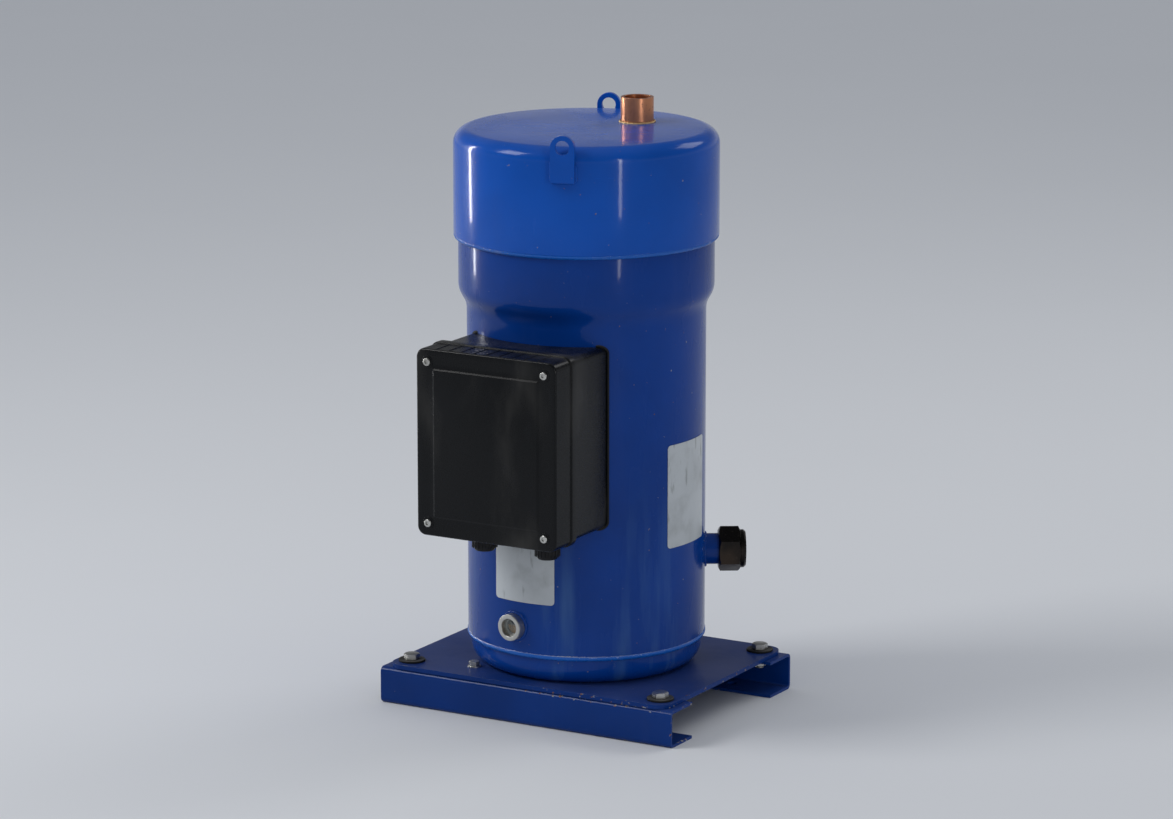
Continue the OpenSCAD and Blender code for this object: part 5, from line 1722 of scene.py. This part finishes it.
@dataclass
class TerminalBox:
    """The moulded terminal box, its cover, screws, glands and what is wired inside."""

    recipes: Recipes
    shell: float = SHELL_R
    width: float = 0.204
    height: float = 0.244
    middle: float = 0.395
    front: float = 0.265
    split: float = 0.213
    wall: float = 0.003
    corner: float = 0.009
    gap: float = 0.0003
    post: Pair = (0.088, 0.108)
    post_r: float = 0.006
    pad_r: float = 0.0082
    screw_r: float = 0.0025
    screw_length: float = 0.020
    rib_count: int = 9
    rib_step: float = 0.019
    glands: Pair = (-0.048, 0.048)
    gland_hole: float = 0.016
    gland_flats: float = 0.036
    gland_bore: float = 0.012
    dome_ribs: int = 20
    pins: tuple[float, ...] = (90, 210, 330)
    pin_circle: float = 0.018
    pin_r: float = 0.0046
    tabs: int = 7
    tab_step: float = 0.0095
    tab_face: float = 0.1965

    def _loft(
        self, size: Pair, corner: float, section: Sequence[Pair], caps: tuple[bool, bool] = (False, True)
    ) -> Shape:
        """Carries a section round a rounded rectangle.

        Args:
            size: Width and height of the rectangle.
            corner: Radius of its corners.
            section: Pairs of an inset and a depth from the axis.
            caps: Whether the first and the last ring are filled.

        Returns:
            The skin.
        """
        rings = []
        for inset, depth in section:
            outline = frame_outline(*size, corner, inset)
            rings.append([Vector((x, -depth, self.middle + z)) for x, z in outline])
        return bridged(rings, False, *caps)

    def _cover(self) -> None:
        """Makes the cover: a deep tray with a rolled lip, a raised panel, screw pads and ribs."""
        out, band, face = self.gap + self.wall, 2 * MM, self.front
        size, corner = (self.width + 2 * out, self.height + 2 * out), self.corner + 3 * MM
        f, s, t = face - 2 * MM, self.split, self.wall
        section = [(-band, s), (-band, s + 11 * MM), (0.0, s + 11.5 * MM), (0.0, f), (9 * MM, f)]
        section = rounded(section, 3.2 * MM) + [(24.6 * MM, f), (25.6 * MM, f + 0.3 * MM)]
        section += [(27.4 * MM, face - 0.3 * MM), (28.4 * MM, face)]
        tray = self._loft(size, corner, section)
        tray.add(self._loft(size, corner, [(-band, s), (out, s), (out, f - t), (30 * MM, f - t)]))
        drills = self._corners(rod(self.screw_r, f - 8 * MM, f + 4 * MM, 24), BOX_PLASTIC)
        cover = carved(tray.mesh("box_cover"), drills)
        publish("box_cover", cover, BOX_PLASTIC, replaces=["terminal_box_cover"])
        pad = washer(self.screw_r, self.pad_r, f - 1 * MM, f + 0.6 * MM, 0.5 * MM, 40)
        publish("cover_pads", self._corners(pad, BOX_PLASTIC), BOX_PLASTIC)
        side = [(x * 1.1 * MM, z * 1.2 * MM) for x, z in ((-1.0, 0.0), (-0.5, 0.8), (0.5, 0.8), (1.0, 0.0))]
        ends = (s + 13 * MM, f - 5 * MM)
        rib = bridged([[Vector((x, -d, z)) for x, z in side] for d in ends])
        ribs, across = Shape(), (self.rib_step, 0.0, 0.0)
        for sign, turn in ((1, 0.0), (-1, math.pi)):
            origin = (0.0, 0.0, self.middle + sign * (size[1] / 2 - 0.1 * MM))
            part = rib.moved(Matrix.Rotation(turn, 4, "Y"))
            row = self.recipes.in_grid(part, BOX_PLASTIC, (self.rib_count, 1), origin, across)
            ribs.add(faces_of(row))
        publish("cover_ribs", ribs, BOX_PLASTIC)

    def _corners(self, shape: Shape, finish: Finish) -> bpy.types.Mesh:
        """Sets copies of a part that points out of the box at its four screws.

        Args:
            shape: The part, on the Z axis.
            finish: Its finish.

        Returns:
            The four copies.
        """
        x, z = self.post
        part = shape.moved(Matrix.Rotation(math.radians(90), 4, "X"))
        return self.recipes.in_grid(
            part, finish, (2, 2), (0.0, 0.0, self.middle), (2 * x, 0.0, 0.0), (0.0, 0.0, 2 * z))

    def _base(self) -> None:
        """Makes the box's base, whose back follows the shell, its screw posts and the gasket behind it."""
        size, c, t = (self.width, self.height), self.corner, self.wall
        front = self.split + 8 * MM
        root = math.sqrt(self.shell**2 - self.width**2 / 4) - 8 * MM
        block = self._loft(size, c, [(0.0, root), (0.0, front - 0.5 * MM), (0.5 * MM, front)], (True, True))
        room = self._loft(size, c, [(t, root - 1 * MM), (t, front + 1 * MM)], (True, True))
        space = carved(room.mesh("room"), rod(self.shell + t, 0.2, 0.6, 256).mesh("back"))
        shell = rod(self.shell + 0.05 * MM, 0.2, 0.6, 256).mesh("shell")
        holes = rod(Outlet.TERMINALS.across / 2 + 0.05 * MM, 0.12, 0.20).moved(Outlet.TERMINALS.place())
        for place in self._gland_places():
            holes.add(rod(self.gland_hole + 0.05 * MM, -2 * MM, 6 * MM), place)
        base = carved(block.mesh("box_base"), space, shell, holes.mesh("holes"))
        publish("box_base", base, BOX_PLASTIC, replaces=["terminal_box_base"])
        tube = washer(self.screw_r, self.post_r, root, self.front - 5.2 * MM, steps=32)
        publish("box_posts", carved(self._corners(tube, BOX_PLASTIC), shell.copy()), BOX_PLASTIC)
        edge = [Vector((x, -math.sqrt(self.shell**2 - x * x) - 0.8 * MM, self.middle + z))
                for x, z in frame_outline(*size, c, -1.2 * MM)]
        gasket = self.recipes.cord.run(RUBBER.made(), start=path_mesh(edge), Radius=1.7 * MM)
        publish("box_gasket", gasket, RUBBER)

    def _gland_places(self) -> list[Matrix]:
        """Returns the places of the cable glands in the box's floor."""
        y, z = -(self.shell + self.split) / 2, self.middle - self.height / 2
        return [Matrix.Translation((x, y, z)) for x in self.glands]

    def _screws(self) -> None:
        """Makes the cover's socket screws."""
        f, steps = self.front - 1.9 * MM, 36
        top = f + 3.3 * MM
        section = [(0.0, f), (5.2 * MM, f), (5.2 * MM, f + 2.6 * MM), (4.4 * MM, top), (2.6 * MM, top)]
        head = turned(rounded(section, 0.4 * MM), steps)
        head.faces.pop()
        rim = head.points[-steps:]
        head.add(bridged([rim, [Vector((p.x, p.y, p.z - 1.8 * MM)) for p in rim]], False, False, True))
        head.add(threaded(self.screw_r - 0.1 * MM, f - self.screw_length, f, 0.8 * MM))
        publish("cover_screw_set", self._corners(head, ZINC), ZINC, replaces=["cover_screws"])

    def _glands(self) -> None:
        """Makes the cable glands with their ribbed domes and rubber seals."""
        bore, outer, tip = self.gland_bore, 16.3 * MM, 10.2 * MM
        side = ((0, 1), (1.3 * MM, 0.55), (1.3 * MM, -0.55), (0, -1))
        ends = ((-30.0 * MM, 0.9 * MM), (-12.5 * MM, 1.1 * MM))
        rib = bridged([[Vector((x, half * t, z)) for x, t in side] for z, half in ends])
        ribs = self.recipes.in_ring(rib, GLAND_PLASTIC, self.dome_ribs, Radius=15.8 * MM)
        section = [(bore, -11.0 * MM), (outer, -11.5 * MM), (outer, -26.0 * MM), (12.8 * MM, -33.8 * MM)]
        section += [(tip, -33.8 * MM), (tip, -30.0 * MM), (bore, -28.0 * MM)]
        body = hexed(self.gland_flats, -9.8 * MM, -0.4 * MM, bore, True)
        body.add(lathed(section, 1.2 * MM, 60)).add(faces_of(ribs))
        body.add(threaded(self.gland_hole - 0.1 * MM, 0.0, 13.8 * MM, 1.5 * MM))
        seal = washer(9.1 * MM, 10.1 * MM, -32.5 * MM, -12.0 * MM, 0.3 * MM)
        for name, shape, finish, gone in (
            ("cable_gland_set", body, GLAND_PLASTIC, ["cable_glands"]),
            ("gland_seals", seal, RUBBER, []),
        ):
            both = Shape()
            for place in self._gland_places():
                both.add(shape, place)
            publish(name, both, finish, replaces=gone)

    def _inside(self) -> None:
        """Adds nuts on the terminal pins and tabs on the protector."""
        r, circle = self.pin_r, self.pin_circle
        stud = hexed(0.013, 0.184, 0.190, r, True).add(washer(r, 8.5 * MM, 0.182, 0.1838, steps=32))
        pins = Shape()
        for a in map(math.radians, self.pins):
            spot = Matrix.Translation((circle * math.cos(a), circle * math.sin(a), 0.0))
            pins.add(stud, Outlet.TERMINALS.place() @ spot)
        publish("terminal_nuts", pins, BRASS)
        x, z = 3.1 * MM, 0.4 * MM
        blade = ((-x, -z), (x, -z), (x, z), (-x, z))
        ends = (self.tab_face, self.tab_face + 9 * MM)
        tab = bridged([[Vector((u, -d, v)) for u, v in blade] for d in ends])
        origin, across = (0.0, 0.006, 0.3527), (self.tab_step, 0.0, 0.0)
        publish("protector_tabs", self.recipes.in_grid(tab, ZINC, (self.tabs, 1), origin, across), ZINC)

    def build(self) -> None:
        """Makes the box."""
        self._cover()
        self._base()
        self._screws()
        self._glands()
        self._inside()


@dataclass
class Motor:
    """Wound end turns, their lacing, filled slots and the rotor's end pegs."""

    recipes: Recipes
    core: Pair = (0.235, 0.405)
    slots: int = 24
    slot_span: Pair = (0.065, 0.096)
    slot_half: float = 0.0031
    wires: int = 12
    wire_r: float = 0.00135
    coil_pitch: int = 5
    inner: float = 0.0682
    spread: float = 0.0268
    rise: float = 0.048
    tie_middle: Pair = (0.081, 0.027)
    tie_reach: Pair = (0.0175, 0.0258)
    peg_r: float = 0.0032
    peg_circle: float = 0.047
    pegs: int = 14

    def _end(self, name: str, base: float, way: float) -> None:
        """Winds one end and laces it.

        Args:
            name: Start of the pieces' names.
            base: Height of the core's end.
            way: 1 for up or -1 for down.
        """
        mesh = self.recipes.coils.run(
            WINDING.made(), Coils=self.slots, Wires=self.wires, Inner=self.inner, Spread=self.spread,
            Base=base, Rise=way * self.rise, Span=math.tau * self.coil_pitch / self.slots, Wire=self.wire_r)
        publish(f"{name}_turns", mesh, WINDING)
        mesh = self.recipes.in_ring(self._lace(base, way), PTFE, self.slots, First_turn=0.13)
        publish(f"{name}_lacing", mesh, PTFE)

    def _lace(self, base: float, way: float) -> Shape:
        """Returns one tie that goes round a bundle.

        Args:
            base: Height of the core's end.
            way: 1 for up or -1 for down.

        Returns:
            The shape.
        """
        (x, z), (wide, tall), steps, sides = self.tie_middle, self.tie_reach, 28, 6
        rings = []
        for a in (math.tau * i / steps for i in range(steps)):
            centre = Vector((x + wide * math.cos(a), 0.0, base + way * (z + tall * math.sin(a))))
            away = Vector((math.cos(a), 0.0, way * math.sin(a)))
            rings.append([centre + (away * math.cos(b) + Vector((0, 1, 0)) * math.sin(b)) * 0.9 * MM
                          for b in (math.tau * k / sides for k in range(sides))])
        return bridged(rings, True, False, False)

    def _slot(self, margin: float, reach: float) -> list[list[Vector]]:
        """Returns a slot's section at both ends.

        Args:
            margin: How much narrower than the slot it is.
            reach: How far it stands out of the core.

        Returns:
            The two rings of points.
        """
        inside, outside = self.slot_span
        narrow = self.slot_half - margin
        wide = narrow + (outside - inside) * math.tan(math.pi / self.slots)
        inside, outside = inside + margin, outside - margin
        corners = ((inside, -narrow), (outside, -wide), (outside, wide), (inside, narrow))
        return [[Vector((x, y, z)) for x, y in corners] for z in (self.core[0] - reach, self.core[1] + reach)]

    def _slots(self) -> None:
        """Fills the slots with wire inside their paper liners."""
        wires = bridged(self._slot(0.5 * MM, 2 * MM))
        paper = [*self._slot(0.05 * MM, 4 * MM), *reversed(self._slot(0.45 * MM, 4 * MM))]
        mesh = self.recipes.in_ring(wires, WINDING, self.slots)
        publish("slot_wires", mesh, WINDING, replaces=["stator_windings"])
        mesh = self.recipes.in_ring(bridged(paper, True, False, False), SLOT_PAPER, self.slots)
        publish("slot_liners", mesh, SLOT_PAPER)

    def build(self) -> None:
        """Makes the motor's details."""
        self._slots()
        self._end("upper", self.core[1], 1.0)
        self._end("lower", self.core[0], -1.0)
        r, height = self.peg_r, self.core[1] + 13.9 * MM
        peg = turned([(r, 0.0), (r, 5 * MM), (r - 0.6 * MM, 6 * MM)], 16)
        mesh = self.recipes.in_ring(
            peg, ALUMINIUM, self.pegs, Radius=self.peg_circle, Height=height, First_turn=0.1)
        publish("rotor_pegs", mesh, ALUMINIUM, "crankshaft")


@dataclass
class ScrollSet:
    """Tip seals in the ends of the two wraps."""

    recipes: Recipes
    core: float = 0.0135
    pitch: float = 0.022
    orbit: float = 0.00585
    low: float = 0.6226
    high: float = 0.6663
    proud: float = 0.00012
    seal_w: float = 0.0018
    seal_t: float = 0.0005

    def _seal(self, half_turns: float, height: float, turn: float) -> bpy.types.Mesh:
        """Returns the strip on one wrap.

        Args:
            half_turns: Half turns of the wrap.
            height: Height of the seal.
            turn: Where the wrap starts, in radians.

        Returns:
            The strip.
        """
        return self.recipes.spiral.run(
            PTFE.made(), Half_turns=half_turns, Height=height, First_turn=turn, Core=self.core,
            Pitch=self.pitch, Width=self.seal_w, Thickness=self.seal_t)

    def build(self) -> None:
        """Makes the tip seals."""
        mesh = self._seal(8.0, self.high - self.proud, 0.0)
        mesh.transform(Matrix.Translation((0.0, self.orbit, 0.0)))
        publish("orbiting_tip_seal", mesh, PTFE, "orbiting_scroll")
        publish("fixed_tip_seal", self._seal(7.0, self.low + self.proud, math.pi), PTFE)


def seen_directly(graph: Graph) -> Signal:
    """Returns 1 for what the camera sees straight, in a reflection or through glass, and 0 for light."""
    ray = graph.node("ShaderNodeLightPath", output="Is Camera Ray")
    return ray + ray.twin("Is Glossy Ray") + ray.twin("Is Transmission Ray")


@dataclass
class Studio:
    """Floor, world, lamps and camera."""

    place: tuple[float, float, float] = (3.229, -5.627, 1.851)
    look: tuple[float, float, float] = (0.0, 0.0, 0.398)
    lens: float = 152.0
    sensor: float = 36.0
    reach: float = 60.0
    paint: tuple[Colour, Colour] = ((0.78, 0.79, 0.80), (0.80, 0.81, 0.82))
    walls: tuple[Colour, Colour] = ((0.60, 0.61, 0.62), (0.12, 0.125, 0.135))
    glow: Colour = (0.42, 0.44, 0.48)

    def _floor(self) -> bpy.types.Collection:
        """Lays a pale floor and returns the collection that keeps the strip lamps from lighting it.

        Returns:
            The collection.
        """
        mesh, far = bpy.data.meshes.new("floor"), self.reach
        corners = ((-far, -far), (far, -far), (far, far), (-far, far))
        mesh.from_pydata([(x, y, 0.0) for x, y in corners], [], [(0, 1, 2, 3)])
        floor = bpy.data.objects.new("floor", mesh)
        bpy.context.scene.collection.objects.link(floor)
        s = Shader("floor_paint")
        s.set(Base_Color=s.blend(s.noise(1.5, 3.0), *self.paint), Roughness=0.9)
        mesh.materials.append(s.material)
        unlit = bpy.data.collections.new("unlit_by_strips")
        unlit.objects.link(floor)
        unlit.collection_objects[0].light_linking.link_state = "EXCLUDE"
        return unlit

    def _world(self) -> None:
        """Gives the world an even light, and a backdrop that darkens upwards where it is seen directly."""
        world = bpy.data.worlds.new("studio")
        bpy.context.scene.world = world
        world.use_nodes = True
        g = Graph(world.node_tree)
        mix = {"data_type": "RGBA", "clamp_factor": True}
        way = g.node("ShaderNodeTexCoord", output="Generated")
        height = g.node("ShaderNodeSeparateXYZ", None, {0: way}, "Z")
        low, high = ((*wall, 1.0) for wall in self.walls)
        walls = g.node("ShaderNodeMix", mix, {0: height * 3.5, 6: low, 7: high}, 2)
        colour = g.node("ShaderNodeMix", mix, {0: seen_directly(g), 6: (*self.glow, 1.0), 7: walls}, 2)
        g.tree.links.new(colour.socket, g.tree.nodes["Background"].inputs["Color"])

    def _aimed(self, place: Sequence[float]) -> Euler:
        """Returns the turn of something at a place that points at the compressor."""
        return (Vector(place) - Vector(self.look)).to_track_quat("Z", "Y").to_euler()

    def _lamp(
        self,
        name: str,
        place: Sequence[float],
        size: Pair,
        power: float,
        spread: float,
        unlit: bpy.types.Collection | None = None,
    ) -> None:
        """Hangs an area lamp that points at the compressor.

        Args:
            name: Name of the lamp.
            place: Middle of the lamp.
            size: Width and height.
            power: Power in watts.
            spread: Angle of the beam in degrees.
            unlit: What the lamp leaves unlit.
        """
        light = bpy.data.lights.new(name, "AREA")
        light.shape, light.size, light.size_y = "RECTANGLE", *size
        light.energy, light.spread = power, math.radians(spread)
        lamp = bpy.data.objects.new(name, light)
        lamp.location = place
        lamp.rotation_euler = self._aimed(place)
        lamp.visible_camera = False
        lamp.light_linking.receiver_collection = unlit
        bpy.context.scene.collection.objects.link(lamp)

    def build(self) -> None:
        """Sets the scene up."""
        scene = bpy.context.scene
        scene.view_settings.view_transform = "Standard"
        unlit = self._floor()
        self._world()
        self._lamp("key", (-2.6, -2.4, 3.4), (1.6, 1.6), 50.0, 150.0)
        self._lamp("strip", (-3.0, -0.15, 0.75), (0.16, 2.2), 9.0, 75.0, unlit)
        self._lamp("fill", (2.9, -1.8, 1.0), (0.16, 2.2), 3.0, 75.0, unlit)
        self._lamp("rear", (1.6, 3.0, 3.0), (1.8, 1.4), 16.0, 150.0)
        camera = bpy.data.objects.new("camera", bpy.data.cameras.new("camera"))
        camera.data.lens, camera.data.sensor_width = self.lens, self.sensor
        camera.data.clip_end = 200.0
        camera.location = self.place
        camera.rotation_euler = self._aimed(self.place)
        scene.collection.objects.link(camera)
        scene.camera = camera


def main() -> None:
    """Builds every sub-assembly in order."""
    logging.basicConfig(level=logging.INFO, format="%(name)s %(message)s")
    Studio().build()
    for node, finish in NODE_FINISHES.items():
        edge = CAST_EDGE if finish in (CAST_IRON, ALUMINIUM) else EDGE
        publish(f"{node}_finished", softened(node, edge), finish, body_of(frame["nodes"][node])[0], [node])
    recipes = Recipes()
    for part in (MountingBase, PressureShell, Connections, TerminalBox, Motor, ScrollSet):
        log.info("building %s", part.__name__)
        part(recipes).build()


if __name__ == "__main__":
    main()
